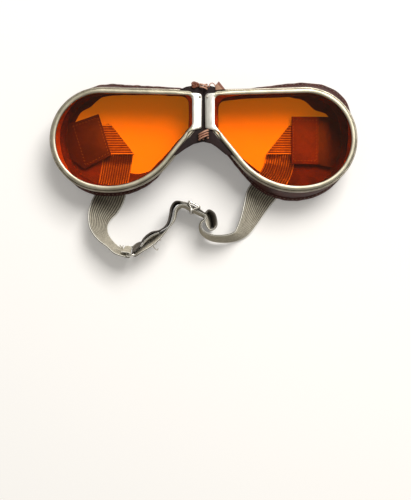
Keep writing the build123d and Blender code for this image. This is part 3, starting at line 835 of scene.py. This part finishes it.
def makePad(side):
    sizes = padSizes
    height, turns = sizes["height"], sizes["puckerTurns"]
    scale = sizes["wobbleScale"]
    outline, inside = teardrop(grown(padShape, 0, rearLift[side])), []
    for a, b in zip(outline, teardrop(grown(padShape, -sizes["width"], rearLift[side]))):
        reach, away = bulge(noseNarrow, a)
        inside.append(b + away * reach)
    rings = []
    for share, rise in padProfile:
        row = []
        for i, (a, b) in enumerate(zip(outline, inside)):
            angle = math.tau * i / len(outline)
            point = a.lerp(b, share)
            point += swellAt(side, point, 1 - 0.5 * share)
            seed = Vector((
                math.cos(angle) * turns, math.sin(angle) * turns, share * 2 + side * 5))
            pucker = noise.noise(seed) * sizes["pucker"] * 2
            point += (a - b).normalized() * pucker * (1 - 2 * share)
            low = padFloor(side, point)
            z = low + (height - low) * rise + pucker * 0.6 * (1 if rise > 0.4 else 0)
            row.append((point.x, point.y, max(z, low)))
        rings.append(row)
    points, faces = tube(rings)
    # Thin lining that runs from under the pad towards the eye
    edges = []
    for share in (0.5, 1.0):
        row = []
        for a, b in zip(outline, inside):
            point = a.lerp(b, share) + swellAt(side, a, 1 - 0.5 * share)
            if share == 1.0:
                reach, outward = bulge(liningReach[side], a)
                wobble = noise.noise(Vector((a.x * scale, a.y * scale, side))) * sizes["wobble"]
                point -= outward * max(reach + wobble - sizes["liningTrim"], 0)
            row.append(point)
        edges.append(row)
    first = len(points)
    more, moreFaces = flatBand(*edges, sizes["liningLow"], sizes["liningHigh"], first)
    piece = newObject(sideName(side) + "FacePad", mirrored(points + more, side),
                      faces + moreFaces, padLeather, sharp=80)
    piece.data.materials.append(tabLeather)
    for polygon in piece.data.polygons:
        low = polygon.center.y < place(0, sizes["darkLiningBelow"], 0).y
        if side < 0 and min(polygon.vertices) >= first and low:
            polygon.material_index = 1
    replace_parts(piece, sideName(side) + "_face_pad")
    seam = teardrop(grown(padShape, -sizes["seamInset"], rearLift[side]))
    seam = [point + swellAt(side, point, 0.9) for point in seam]
    line = [Vector((side * point.x, point.y, sizes["seamHeight"])) for point in seam]
    sewStitches(sideName(side) + "PadSeam", [line + [line[0]]], eyepiece(side), 2.4)
    return carry(piece, eyepiece(side))


for side in (1, -1):
    makeCup(side)
    makePad(side)
print("cups and pads made")


# Nose flaps, tabs and lacing

# Each tab from its root under the pad to its free end, as pairs of edge points and a height; the
# left one has slipped askew
tabRows = {
    1: [((86.0, 11.5), (86.0, -7.5), 0.95), ((80.0, 12.0), (80.0, -8.0), 1.0),
        ((75.6, 14.6), (75.6, -14.0), 2.6), ((73.4, 15.2), (73.4, -14.4), 3.4),
        ((67.6, 15.3), (67.6, -12.8), 3.5),
        ((51.8, 15.4), (51.8, -12.6), 3.55)],
    -1: [((-86.0, 11.5), (-86.0, -7.5), 0.95), ((-81.5, 11.8), (-81.0, -8.0), 1.0),
         ((-78.4, 11.2), (-70.0, -15.4), 3.2), ((-61.8, 16.9), (-54.2, -7.6), 3.6)],
}
tabSizes = {
    "thickness": 1.2, "edge": 0.35, "seam": 1.7, "seamCorner": 1.4, "seamLift": 0.02,
    "shadeFrom": 67.7,
}


def makeTab(side):
    sizes, rows = tabSizes, tabRows[side]
    points, faces = [], []
    for (first, second, height) in rows:
        for lift in (-sizes["thickness"] / 2, sizes["thickness"] / 2):
            points.append((first[0], first[1], height + lift))
            points.append((second[0], second[1], height + lift))
    for i in range(len(rows) - 1):
        a, b = 4 * i, 4 * i + 4
        faces += [(a, a + 1, b + 1, b), (a + 2, b + 2, b + 3, a + 3), (a, b, b + 2, a + 2),
                  (a + 1, a + 3, b + 3, b + 1)]
    last = 4 * (len(rows) - 1)
    faces += [(0, 2, 3, 1), (last, last + 1, last + 3, last + 2)]
    # Painted shade: the left tab is all in the darker copy, and the right tab's end towards the pad
    # is given it below
    piece = newObject(sideName(side) + "StrapTab", points, faces,
                      tabLeather if side > 0 else tabPaintedShadeLeather)
    easeEdges(piece, sizes["edge"])
    piece.data.materials.append(tabPaintedShadeLeather)
    for polygon in piece.data.polygons:
        if polygon.center.x > sizes["shadeFrom"] * mm:
            polygon.material_index = 1
    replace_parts(piece, sideName(side) + "_strap_tab")
    carry(piece, eyepiece(side))
    # Seam round the free end
    high = sizes["thickness"] / 2 + sizes["seamLift"]
    ends = ((rows[-2], 0), (rows[-1], 0), (rows[-1], 1), (rows[-2], 1))
    corners = [Vector((row[edge][0], row[edge][1], row[2] + high)) for row, edge in ends]
    middle = sum(corners, Vector()) / 4
    inset = sizes["seam"] * sizes["seamCorner"]
    seam = [c + (middle - c) * (inset / (middle - c).length) for c in corners]
    sewStitches(sideName(side) + "TabSeam", [seam + [seam[0]]], eyepiece(side))


# Flaps under the nose plates: an ear above, a tongue along the lower rim
flapSizes = {"low": 24.6, "high": 25.7, "edge": 0.25}
flapOutlines = {
    1: [(0.5, 30.1), (3.7, 29.8), (7.1, 29.0), (12.6, 27.6), (12.2, 26.4), (5.2, 25.6), (5.2, 4.0),
        (7.5, 1.2), (17.6, -9.8), (12.6, -9.2), (7.1, -4.7), (4.2, -2.9), (0.5, -2.1)],
    -1: [(-0.5, 30.1), (-6.5, 29.8), (-9.7, 29.3), (-13.4, 27.7), (-12.8, 26.4), (-5.2, 25.6),
         (-5.2, 4.0), (-7.5, 1.2), (-18.8, -9.8), (-15.2, -9.4), (-10.5, -6.0), (-5.6, -3.2),
         (-1.6, -2.2), (-0.5, -2.1)],
}


def slab(name, outline, low, high, material, edge):
    # A flat cut piece with its edges eased
    count = len(outline)
    points = [(x, y, low) for x, y in outline] + [(x, y, high) for x, y in outline]
    faces = [tuple(range(count)), tuple(range(count, 2 * count))]
    faces += [(i, (i + 1) % count, count + (i + 1) % count, count + i) for i in range(count)]
    return easeEdges(newObject(name, points, faces, material), edge)


for side in (1, -1):
    flap = slab(sideName(side) + "NoseFlap", flapOutlines[side], flapSizes["low"],
                flapSizes["high"], flapLeather, flapSizes["edge"])
    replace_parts(flap, sideName(side) + "_nose_flap")
    carry(flap, eyepiece(side))
    makeTab(side)

# Leather web that closes the gap behind the nose plates
webSizes = {
    "half": 1.8, "thickness": 0.25, "height": 24.5, "low": -1.9, "high": 29.8, "columns": 12,
}


def makeBridgeWeb(sizes):
    points, faces = [], []
    count = sizes["columns"]
    for z in (sizes["height"] - sizes["thickness"], sizes["height"]):
        for y in (sizes["low"], sizes["high"]):
            points += [(sizes["half"] * (2 * i / count - 1), y, z) for i in range(count + 1)]
    n = count + 1
    for i in range(count):
        faces += [(i, i + 1, n + i + 1, n + i),
                  (2 * n + i, 3 * n + i, 3 * n + i + 1, 2 * n + i + 1),
                  (i, 2 * n + i, 2 * n + i + 1, i + 1),
                  (n + i, n + i + 1, 3 * n + i + 1, 3 * n + i)]
    for i in (0, count):
        faces.append((i, n + i, 3 * n + i, 2 * n + i))
    piece = newObject("bridgeLeatherWeb", points, faces, flapLeather)
    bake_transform(piece)


makeBridgeWeb(webSizes)

laceSizes = {
    "radius": 2.6, "topRadius": 2.0, "pitch": 1.4, "turns": 3, "topTurns": 2, "hinge": 27.0,
    "thong": 0.45, "topStart": 27.6, "bottomStart": 4.4, "slant": 1.8, "knotThong": 0.62,
    "knotMiddle": (-4.8, 30.1, 26.7), "knotReach": (1.25, 0.95, 0.5), "knotRoll": 0.55,
    "knotSteps": 96, "topSlant": 1.0, "loopThong": 0.28, "endThickness": 0.7, "endEdge": 0.15,
    "turnSteps": 24, "tuck": 0.9,
}
# Small loop of thong beside the knot
laceLoop = [(3.0, 28.9, 25.6), (3.4, 30.2, 26.0), (4.2, 31.1, 26.1), (5.2, 31.2, 26.1),
            (6.1, 30.6, 26.0), (6.8, 29.2, 25.8)]
# Upper side of the thong's cut end, in pairs from its root
laceEnd = [(6.6, 29.8, 27.0), (6.8, 27.0, 27.0), (10.9, 27.3, 28.3), (7.6, 30.6, 28.3),
           (12.3, 27.4, 27.4), (8.6, 32.0, 27.4)]


def windingLine(sizes, radius, turns, startY, way, slant):
    # Slanted half turns over the fold, each drawn back a little below it
    pitch, height, steps = sizes["pitch"], sizes["hinge"], sizes["turnSteps"]
    line = [Vector((radius, startY, height - sizes["tuck"]))]
    for turn in range(turns):
        for step in range(steps):
            angle = math.tau * step / steps
            if step <= steps // 2:
                moved = slant * (1 - math.cos(angle)) / 2
            else:
                moved = slant + (1 - slant) * (1 + math.cos(angle)) / 2
            line.append(Vector((radius * math.cos(angle), startY + way * (turn + moved) * pitch,
                                height + radius * math.sin(angle))))
    last = startY + way * turns * pitch
    line.append(Vector((radius, last, height)))
    line.append(Vector((radius, last, height - sizes["tuck"])))
    return line


def knotLine(sizes):
    # Closed overhand knot, drawn tight and flattened against the flap
    middle, reach = Vector(sizes["knotMiddle"]), sizes["knotReach"]
    line = []
    for step in range(sizes["knotSteps"] + 1):
        angle = math.tau * step / sizes["knotSteps"]
        radius = 1 + sizes["knotRoll"] * math.cos(3 * angle)
        line.append(middle + Vector((
            reach[0] * radius * math.cos(2 * angle), reach[1] * radius * math.sin(2 * angle),
            reach[2] * math.sin(3 * angle))))
    return line


def thong(name, line, node, body, radius, material):
    piece = linesObject(name, [line])
    grow(piece, sweptRibs, {"Rib Radius": radius * mm, "Rib Sides": 10, "Material": material})
    if node:
        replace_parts(piece, node)
    return carry(piece, body)


def makeLaceEnd(sizes):
    # Creased along its middle: pale on the near slope, and the far slope painted dark in the knot's
    # brown as shade
    lower = [(x, y, z - sizes["endThickness"]) for x, y, z in laceEnd]
    faces = [(0, 1, 2, 3), (3, 2, 4, 5), (6, 7, 8, 9), (9, 8, 10, 11)]
    border = [0, 1, 2, 4, 5, 3]
    faces += [(a, b, b + 6, a + 6) for a, b in zip(border, border[1:] + border[:1])]
    piece = newObject("topLacingEnd", laceEnd + lower, faces, endLeather)
    piece.data.materials.append(knotAndPaintedShadeLeather)
    piece.data.polygons[1].material_index = 1
    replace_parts(easeEdges(piece, sizes["endEdge"]), "top_lace_end")
    return carry(piece, "right_eyepiece")


def makeLacing(sizes):
    top = windingLine(
        sizes, sizes["topRadius"], sizes["topTurns"], sizes["topStart"], 1, sizes["topSlant"])
    low = windingLine(
        sizes, sizes["radius"], sizes["turns"], sizes["bottomStart"], -1, sizes["slant"])
    thong("topLacing", top, "top_lace", "right_eyepiece", sizes["thong"], laceLeather)
    thong("bottomLacing", low, "bottom_lace", "right_eyepiece", sizes["thong"], laceLeather)
    thong("topLacingKnot", knotLine(sizes), "top_lace_knot", "left_eyepiece", sizes["knotThong"],
          knotAndPaintedShadeLeather)
    loop = [Vector(point) for point in laceLoop]
    thong("topLacingLoop", loop, None, "right_eyepiece", sizes["loopThong"], laceLeather)
    makeLaceEnd(sizes)


makeLacing(laceSizes)
print("flaps, tabs and lacing made")


# Elastic straps

strapSizes = {
    "width": 18.0, "thickness": 1.1, "floorGap": 0.3, "layerGap": 0.2, "ribs": 13,
    "ribRadius": 0.42, "webShare": 0.97, "webThickness": 0.4, "centreY": 2.0, "sewnX": 60.4,
    "steps": 9, "halfWidth": 87.2, "settle": 6.0, "foldShadeTop": 1.6,
    "sewnSteps": 8, "foldReach": 0.8, "settleSteps": 10, "endSpread": 1.05, "endShare": 0.5,
}
# Painted shade below each fold: depth in millimetres and share of shade
foldPaintedShade = {
    1: [(0.0, 0.85), (2.2, 0.85), (2.8, 0.1), (4.6, 0.1), (5.4, 0.68), (12.0, 0.66), (24.0, 0.0)],
    -1: [(-1.5, 0.2), (0.0, 0.92), (4.8, 0.92), (6.0, 0.5), (12.0, 0.5), (24.0, 0.0)],
}
foldSizes = {1: {"topX": 52.0, "lowX": 37.5}, -1: {"topX": 55.6, "lowX": 41.4}}
ringSizes = {
    "x": -41.8, "y": -63.8, "turn": 10.0, "lean": 13.0, "spacing": 4.5, "wire": 0.65, "bar": 18.6,
    "corner": 1.4, "gap": 0.25, "sides": 14,
}
slideSizes = {
    "x": -6.4, "y": -39.4, "turn": 153.0, "lean": 4.0, "bar": 0.6, "spacing": 3.6, "gap": 0.15,
    "endGap": 0.6, "endWidth": 1.5, "endRound": 0.75, "bend": 0.5, "bendSteps": 5, "barInset": 0.97,
    "sides": 12,
}
# Routes as shares of the half width: x, y, lift of the lower edge as a share of the strap's
# width, and the roll in degrees that raises the right-hand edge
shortRoute = [
    (-0.562, 0.135, 0, 0), (-0.572, 0.010, 0, 0), (-0.583, -0.100, 0, 0),
    (-0.600, -0.205, 0, 0), (-0.622, -0.315, 0, 0), (-0.642, -0.378, 0, 3),
    (-0.669, -0.437, 0, 22), (-0.698, -0.502, 0, 44),
    (-0.702, -0.571, 0.01, 59), (-0.673, -0.636, 0.04, 71), (-0.622, -0.688, 0.08, 78),
    (-0.569, -0.731, 0.11, 77),
]
longRoute = [
    (0.534, 0.135, 0, 0), (0.532, 0.025, 0, 0), (0.523, -0.090, 0, 0), (0.500, -0.190, 0, 0),
    (0.456, -0.265, 0, 0), (0.414, -0.318, 0, 3), (0.376, -0.370, 0, 16), (0.344, -0.440, 0, 36),
    (0.308, -0.518, 0.0, 50), (0.266, -0.590, 0.02, 60), (0.214, -0.634, 0.04, 72),
    (0.140, -0.650, 0.07, 76), (0.056, -0.644, 0.10, 79), (-0.004, -0.612, 0.12, 83),
    (-0.022, -0.572, 0.12, 86), (-0.012, -0.538, 0.12, 86), (0.012, -0.517, 0.12, 86),
    (0.004, -0.500, 0.12, 86),
]
lowerRun = [
    (-0.158, -0.436, 0.12, 87), (-0.183, -0.466, 0.12, 88), (-0.198, -0.526, 0.12, 90),
    (-0.242, -0.586, 0.12, 94), (-0.300, -0.634, 0.12, 103), (-0.354, -0.676, 0.12, 106),
    (-0.405, -0.714, 0.12, 102),
]
upperRun = [
    (-0.431, -0.688, 0.12, 81), (-0.385, -0.653, 0.12, 95), (-0.337, -0.618, 0.12, 96),
    (-0.286, -0.592, 0.12, 88), (-0.240, -0.555, 0.12, 90), (-0.221, -0.499, 0.12, 91),
    (-0.210, -0.446, 0.12, 92), (-0.178, -0.410, 0.12, 93),
]
turnedEnd = [
    (-0.414, -0.697, 0.12, 86), (-0.378, -0.668, 0.12, 94), (-0.335, -0.638, 0.12, 95),
    (-0.292, -0.612, 0.12, 90),
]
tailRoute = [
    (0.012, -0.486, 0.12, 93), (0.034, -0.472, 0.12, 96), (0.056, -0.492, 0.12, 100),
    (0.069, -0.531, 0.12, 100), (0.073, -0.564, 0.12, 98), (0.064, -0.588, 0.12, 92),
    (0.046, -0.588, 0.12, 94), (0.037, -0.566, 0.12, 100), (0.034, -0.534, 0.12, 104),
    (0.030, -0.504, 0.12, 104), (0.025, -0.486, 0.12, 102),
]


def laid(route):
    # Stations of a strap on the floor: its middle, and the way from its lower to its upper edge
    sizes, stations = strapSizes, []
    for i, (x, y, lift, roll) in enumerate(route):
        before, after = route[max(i - 1, 0)], route[min(i + 1, len(route) - 1)]
        heading = Vector((after[0] - before[0], after[1] - before[1], 0)).normalized()
        right = Vector((heading.y, -heading.x, 0))
        rise, flat = sine(roll), cosine(roll)
        height = (sizes["floorGap"] + sizes["width"] * (lift + rise / 2)
                  + sizes["thickness"] / 2 * abs(flat))
        middle = Vector((x * sizes["halfWidth"], y * sizes["halfWidth"], height))
        stations.append((middle, right * flat + Vector((0, 0, rise))))
    return stations


def leaningAxes(x, y, height, turn, lean):
    along = polar(1, turn)
    across = polar(sine(lean), turn - 90)
    across.z = cosine(lean)
    across.normalize()
    return Vector((x, y, height)), along, across, along.cross(across)


def stationsOn(axes, places):
    middle, along, across, beside = axes
    return [(middle + along * a + beside * b, across.copy()) for a, b in places]


ringMiddle = (strapSizes["floorGap"] + ringSizes["wire"] * sine(ringSizes["lean"])
              + (ringSizes["bar"] / 2 + ringSizes["corner"] + ringSizes["wire"])
              * cosine(ringSizes["lean"]))
ringAxes = leaningAxes(
    ringSizes["x"], ringSizes["y"], ringMiddle, ringSizes["turn"], ringSizes["lean"])
layerSpacing = strapSizes["thickness"] + strapSizes["layerGap"]
slideBarOffset = (layerSpacing / 2 + strapSizes["thickness"] / 2 + slideSizes["gap"]
                  + slideSizes["bar"])
slideMiddle = (strapSizes["floorGap"]
               + (slideBarOffset + slideSizes["endRound"]) * sine(slideSizes["lean"])
               + (strapSizes["width"] / 2 + slideSizes["endGap"] + slideSizes["endWidth"])
               * cosine(slideSizes["lean"]))
slideAxes = leaningAxes(
    slideSizes["x"], slideSizes["y"], slideMiddle, slideSizes["turn"], slideSizes["lean"])
slideReach = slideSizes["spacing"] + 2 * slideSizes["bar"]
barRadius = ringSizes["wire"] + ringSizes["gap"] + strapSizes["thickness"] / 2


def aroundBar(barX, angles):
    return stationsOn(ringAxes, [
        (barX + barRadius * cosine(a), barRadius * sine(a))
        for a in angles])


def smoothRows(stations, steps):
    # A curve through the stations, middle and across alike
    rows = []
    for i in range(len(stations) - 1):
        before, start = stations[max(i - 1, 0)], stations[i]
        end, after = stations[i + 1], stations[min(i + 2, len(stations) - 1)]
        for step in range(steps):
            t = step / steps
            row = []
            for a, b, c, d in zip(before, start, end, after):
                row.append(0.5 * (2 * b + (c - a) * t + (2 * a - 5 * b + 4 * c - d) * t ** 2
                                  + (3 * b - a - 3 * c + d) * t ** 3))
            rows.append((row[0], row[1].normalized()))
    rows.append(stations[-1])
    return rows


def foldedColumn(side, rows, offset):
    # One lengthwise line of a strap from its sewn end, round its fold and along its route
    sizes, fold = strapSizes, foldSizes[side]
    half, steps = sizes["width"] / 2, sizes["sewnSteps"]
    y = sizes["centreY"] - side * offset
    topY, lowY = sizes["centreY"] + half, sizes["centreY"] - half
    share = (y - lowY) / (topY - lowY)
    foldX = side * (fold["lowX"] + (fold["topX"] - fold["lowX"]) * share)
    lowZ = sizes["floorGap"] + sizes["thickness"] / 2
    highZ = lowZ + sizes["thickness"] + sizes["layerGap"]
    line = [Vector((side * sizes["sewnX"] + (foldX - side * sizes["sewnX"]) * i / steps, y, highZ))
            for i in range(steps)]
    turn = (highZ - lowZ) / 2        # the fold's radius
    for angle in (90, 60, 30, 0, -30, -60):
        line.append(Vector((foldX - side * turn * cosine(angle) * sizes["foldReach"], y,
                            lowZ + turn + turn * sine(angle))))
    edge = Vector((side * (fold["topX"] - fold["lowX"]), topY - lowY, 0))
    corner = Vector((side * fold["lowX"], lowY, 0))

    def beyond(point):
        offsetPoint = point - corner
        return side * (edge.x * offsetPoint.y - edge.y * offsetPoint.x)

    path = [middle + across * offset for middle, across in rows]
    cut = Vector((foldX, y, lowZ))
    bendRow = next(i for i in range(len(rows)) if rows[i][0].y < lowY - sizes["settle"])
    k = next(i for i in range(bendRow + 1) if beyond(path[i]) < 0 or i == bendRow)
    stretch = [cut] + path[max(k, 1):bendRow + 1]
    line += resample(stretch, sizes["settleSteps"])[:-1]
    return line + path[bendRow:]


def plainColumn(rows, offset):
    return [middle + across * offset for middle, across in rows]


def alongLine(line, start=0.0):
    lengths = [start]
    for a, b in zip(line, line[1:]):
        lengths.append(lengths[-1] + (b - a).length)
    return lengths


def darkeningAt(table, value):
    # Straight lines between the rows of a table, nothing outside it
    for (low, first), (high, second) in zip(table, table[1:]):
        if low <= value <= high:
            return first + (second - first) * (value - low) / (high - low)
    return 0.0


def weaveStrap(name, column, fold=(), lengthDarkening=()):
    # column is a function that gives the lengthwise line at an offset across the strap
    sizes, count = strapSizes, strapSizes["ribs"]
    pitch = sizes["width"] / count
    webLines = [column((i - count / 2) * pitch * sizes["webShare"]) for i in range(count + 1)]
    middleLine, rowsLong = webLines[count // 2], len(webLines[0])
    normals = []
    for j in range(rowsLong):
        across = webLines[-1][j] - webLines[0][j]
        heading = middleLine[min(j + 1, rowsLong - 1)] - middleLine[max(j - 1, 0)]
        normals.append(across.cross(heading).normalized() * sizes["webThickness"] / 2)
    points = [tuple(point + normal * sign) for sign in (1, -1) for line in webLines
              for point, normal in zip(line, normals)]
    along = alongLine(middleLine) * (2 * len(webLines))
    flags, selvedge = [0.0] * len(points), [0.0] * len(points)
    faces, edges = [], []

    def at(sheet, i, j):
        return sheet * (count + 1) * rowsLong + i * rowsLong + j

    for i in range(count):
        for j in range(rowsLong - 1):
            faces.append((at(0, i, j), at(0, i, j + 1), at(0, i + 1, j + 1), at(0, i + 1, j)))
            faces.append((at(1, i, j), at(1, i + 1, j), at(1, i + 1, j + 1), at(1, i, j + 1)))
        for j in (0, rowsLong - 1):
            faces.append((at(0, i, j), at(0, i + 1, j), at(1, i + 1, j), at(1, i, j)))
    for j in range(rowsLong - 1):
        for i in (0, count):
            faces.append((at(0, i, j), at(1, i, j), at(1, i, j + 1), at(0, i, j + 1)))
    for i in range(count):
        line = column((i + 0.5 - count / 2) * pitch)
        start = len(points)
        points += [tuple(point) for point in line]
        flags += [1.0] * len(line)
        selvedge += [1.0 if i in (0, count - 1) else 0.0] * len(line)
        along += alongLine(line)
        edges += [(start + j, start + j + 1) for j in range(len(line) - 1)]
    piece = newObject(name, points, faces, None, edges, sharp=60)
    # Painted shade lies just below the fold, and set stretches along the length are darker
    foot = sizes["centreY"] - sizes["width"] / 2
    crease = [max(darkeningAt(fold, foot - point[1]) if point[2] < sizes["foldShadeTop"] else 0.0,
                  darkeningAt(lengthDarkening, length)) for point, length in zip(points, along)]
    for label, values in (
            ("rib", flags), ("along", along), ("selvedge", selvedge), ("crease", crease)):
        attribute = piece.data.attributes.new(label, "FLOAT", "POINT")
        attribute.data.foreach_set("value", values)
    return grow(piece, sweptRibs, {
        "Rib Radius": sizes["ribRadius"] * mm, "Rib Sides": 8, "Material": webbingCloth,
        "Ground Material": webbingGroundAndGrooveShade})


def makeShortStrap():
    sizes, route = strapSizes, laid(shortRoute)
    middle, across = route[-1]
    inward = across.cross(middle - route[-2][0]).normalized() * layerSpacing * sizes["endSpread"]
    bar = aroundBar(-ringSizes["spacing"] / 2, (90, 45, 0, -45, -90))
    # The turned end lies against the strap, part of the way back to the bar
    share = sizes["endShare"]
    turned = ((middle + inward).lerp(bar[-1][0], share), across.lerp(bar[-1][1], share))
    stations = route + bar + [turned]
    rows = smoothRows(stations, sizes["steps"])
    piece = weaveStrap(
        "shortElasticStrap", lambda offset: foldedColumn(-1, rows, offset), foldPaintedShade[-1])
    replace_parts(piece, "short_strap")
    return carry(piece, "left_eyepiece")


# Darkening along the webbing's length: millimetres from its start and share of darkening
stretchDarkening = {
    "tail": [(0.0, 0.7), (17.0, 0.75), (24.0, 0.1)],
    "return": [(42.0, 0.0), (50.0, 0.85), (95.0, 0.95)],
}


def throughSlide(reaches, face):
    # Stations beside the slide's middle bar, on one face of it (-1) or the other (1)
    return stationsOn(slideAxes, [(reach, face * layerSpacing / 2) for reach in reaches])


def weavePlain(name, stations, lengthDarkening=()):
    rows = smoothRows(stations, strapSizes["steps"])
    piece = weaveStrap(name, lambda offset: plainColumn(rows, offset), lengthDarkening=lengthDarkening)
    return piece


def makeLongStrap():
    half = slideReach / 2
    leading = laid(longRoute) + throughSlide((-slideReach, -half, 0), -1)
    rows = smoothRows(leading, strapSizes["steps"])
    main = weaveStrap(
        "longElasticStrap", lambda offset: foldedColumn(1, rows, offset), foldPaintedShade[1])
    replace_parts(main, "long_strap")
    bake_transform(main)
    tail = weavePlain("tailElasticStrap",
                      throughSlide((0, -half, -slideReach), 1) + laid(tailRoute),
                      stretchDarkening["tail"])
    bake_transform(tail)
    back = throughSlide((0, half, slideReach), -1) + laid(lowerRun)
    back += aroundBar(ringSizes["spacing"] / 2, (66, 90, 135, 180, 225, 242))
    back += laid(upperRun) + throughSlide((slideReach, half, 0), 1)
    loop = weavePlain("returnElasticStrap", back, stretchDarkening["return"])
    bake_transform(loop)
    turned = weavePlain("turnedStrapEnd", laid(turnedEnd))
    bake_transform(turned)
    return main


# Loose yarns at the turned end of each strap, as points in millimetres
yarnSizes = {"radius": 0.22, "sides": 6, "steps": 6}
looseYarns = [
    [(-30.6, -59.2, 9.0), (-29.4, -61.2, 7.5), (-28.1, -62.8, 6.0), (-27.2, -63.2, 5.2),
     (-26.7, -62.2, 5.0)],
    [(-27.8, -56.6, 12.0), (-26.2, -57.6, 10.5), (-24.8, -57.2, 10.0)],
    [(-29.6, -58.8, 13.0), (-28.2, -59.8, 12.0), (-27.4, -59.6, 12.0)],
]
shortYarns = [
    [(-46.6, -62.6, 18.6), (-47.3, -61.4, 19.2), (-47.9, -60.2, 19.3)],
    [(-46.3, -62.8, 18.0), (-46.4, -61.6, 18.6), (-46.0, -60.5, 18.8)],
    [(-46.9, -62.6, 15.5), (-48.2, -61.8, 16.2), (-49.2, -61.2, 16.3)],
    [(-46.9, -62.4, 12.5), (-47.6, -61.2, 13.0), (-48.6, -60.8, 12.6)],
]


def smoothLine(points, steps):
    stations = [(Vector(point), Vector((0, 0, 1))) for point in points]
    return [row[0] for row in smoothRows(stations, steps)]


def makeYarns(name, yarns, sizes):
    piece = linesObject(name, [smoothLine(yarn, sizes["steps"]) for yarn in yarns])
    return grow(piece, sweptRibs, {
        "Rib Radius": sizes["radius"] * mm, "Rib Sides": sizes["sides"],
        "Material": webbingCloth})


makeShortStrap()
makeLongStrap()
longStrapYarns = makeYarns("looseYarns", looseYarns, yarnSizes)
carry(makeYarns("shortStrapYarns", shortYarns, yarnSizes), "left_eyepiece")
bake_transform(longStrapYarns)
print("straps woven")


# Ring and slide

def frameLine(axes, spacing, bar, corner):
    # Rounded oblong of the ring's wire, in its leaning plane
    middle, along, across = axes[:3]
    halfX, halfY = spacing / 2, bar / 2 + corner
    points = []
    for signX, signY, start in ((1, 1, 0), (-1, 1, 90), (-1, -1, 180), (1, -1, 270)):
        centre = Vector((signX * (halfX - corner), signY * (halfY - corner), 0))
        for step in range(9):
            p = centre + polar(corner, start + step * 90 / 8)
            points.append(middle + along * p.x + across * p.y)
    return points


def makeRing():
    line = frameLine(ringAxes, ringSizes["spacing"], ringSizes["bar"], ringSizes["corner"])
    radius, sides = ringSizes["wire"], ringSizes["sides"]
    rings = []
    for i, point in enumerate(line):
        heading = (line[(i + 1) % len(line)] - line[i - 1]).normalized()
        out = heading.cross(ringAxes[3]).normalized()
        rings.append([
            tuple(point + out * radius * math.cos(math.tau * k / sides)
                  + ringAxes[3] * radius * math.sin(math.tau * k / sides)) for k in range(sides)])
    points, faces = tube(rings)
    piece = newObject("wireStrapRing", points, faces, strapMetal, sharp=80)
    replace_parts(piece, "strap_ring")
    return carry(piece, "ring")


def makeSlide():
    # Three bars joined by a bent wire triangle at each end
    sizes, lines = slideSizes, []
    middle, along, across, beside = slideAxes
    reach, offset = sizes["spacing"], slideBarOffset
    corners = [Vector((-reach, offset, 0)), Vector((reach, offset, 0)), Vector((0, -offset, 0))]
    inner = strapSizes["width"] / 2 + sizes["endGap"] + sizes["endWidth"] / 2
    loop = []
    for i, corner in enumerate(corners):
        start, end, turning = cornerArc(corner, corners[i - 1], corners[(i + 1) % 3], sizes["bend"])
        loop += turnAbout(turning, start, end, sizes["bendSteps"]) + [end]
    loop.append(loop[0])
    for height in (-inner, inner):
        lines.append([middle + along * p.x + beside * p.y + across * height for p in loop])
    for p in corners:
        lines.append([middle + along * p.x * sizes["barInset"] + beside * p.y + across * height
                      for height in (-inner, 0, inner)])
    piece = linesObject("threeBarSlide", lines)
    grow(piece, sweptRibs, {
        "Rib Radius": sizes["bar"] * mm, "Rib Sides": sizes["sides"], "Material": strapMetal})
    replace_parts(piece, "strap_slide")
    return carry(piece, "slide")


makeRing()
makeSlide()
print("ring and slide made")


# Floor, light and sky, in metres and watts

floorSizes = {"reach": 1.6, "color": "F7F5F2", "glowShare": 0.15, "glow": 1.1}
lightSizes = {
    "sky": "F6F1E8", "skyStrength": 0.38, "lamp": "FFFDFA", "watts": 21.0, "side": 0.7,
    "place": (0.40, 0.68, 1.15),
}


def makeFloor(sizes):
    # Matte, near-white table with a faint glow of its own, which lights nothing
    mesh, reach = bpy.data.meshes.new("paleTable"), sizes["reach"]
    mesh.from_pydata(
        [(-reach, -reach, 0), (reach, -reach, 0), (reach, reach, 0), (-reach, reach, 0)],
        [], [(0, 1, 2, 3)])
    material, tree, shader = newMaterial("paleTable", {
        "Base Color": hexColor(sizes["color"]), "Roughness": 0.9, "Specular IOR Level": 0.1})
    path = addNode(tree, "ShaderNodeLightPath")
    seen = path.outputs["Is Camera Ray"]
    for ray in ("Is Glossy Ray", "Is Transmission Ray"):
        seen = addNode(tree, "ShaderNodeMath", {"operation": "MAXIMUM"}, {
            0: seen, 1: path.outputs[ray]}).outputs[0]
    share = addNode(tree, "ShaderNodeMath", {
        "operation": "MULTIPLY", 1: sizes["glowShare"]}, {0: seen})
    white = addNode(tree, "ShaderNodeEmission", {
        "Color": hexColor("FFFFFF"), "Strength": sizes["glow"]})
    both = addNode(tree, "ShaderNodeMixShader", None, {
        "Fac": share.outputs[0], 1: shader.outputs[0], 2: white.outputs[0]})
    tree.links.new(both.outputs[0], tree.nodes["Material Output"].inputs["Surface"])
    mesh.materials.append(material)
    floor = addObject("paleTable", mesh)


def makeLight(sizes):
    world = bpy.data.worlds.new("softDaylight")
    world.use_nodes = True
    background = world.node_tree.nodes["Background"]
    background.inputs["Color"].default_value = hexColor(sizes["sky"])
    background.inputs["Strength"].default_value = sizes["skyStrength"]
    bpy.context.scene.world = world
    data = bpy.data.lights.new("windowLight", "AREA")
    data.shape = "RECTANGLE"
    data.size, data.size_y = sizes["side"], sizes["side"]
    data.energy = sizes["watts"]
    data.color = hexColor(sizes["lamp"])[:3]
    window = addObject("windowLight", data)
    window.location = sizes["place"]
    window.rotation_euler = (-window.location).to_track_quat("-Z", "Y").to_euler()


makeFloor(floorSizes)
makeLight(lightSizes)
bpy.context.scene.view_settings.view_transform = "Standard"
print("floor and light set")
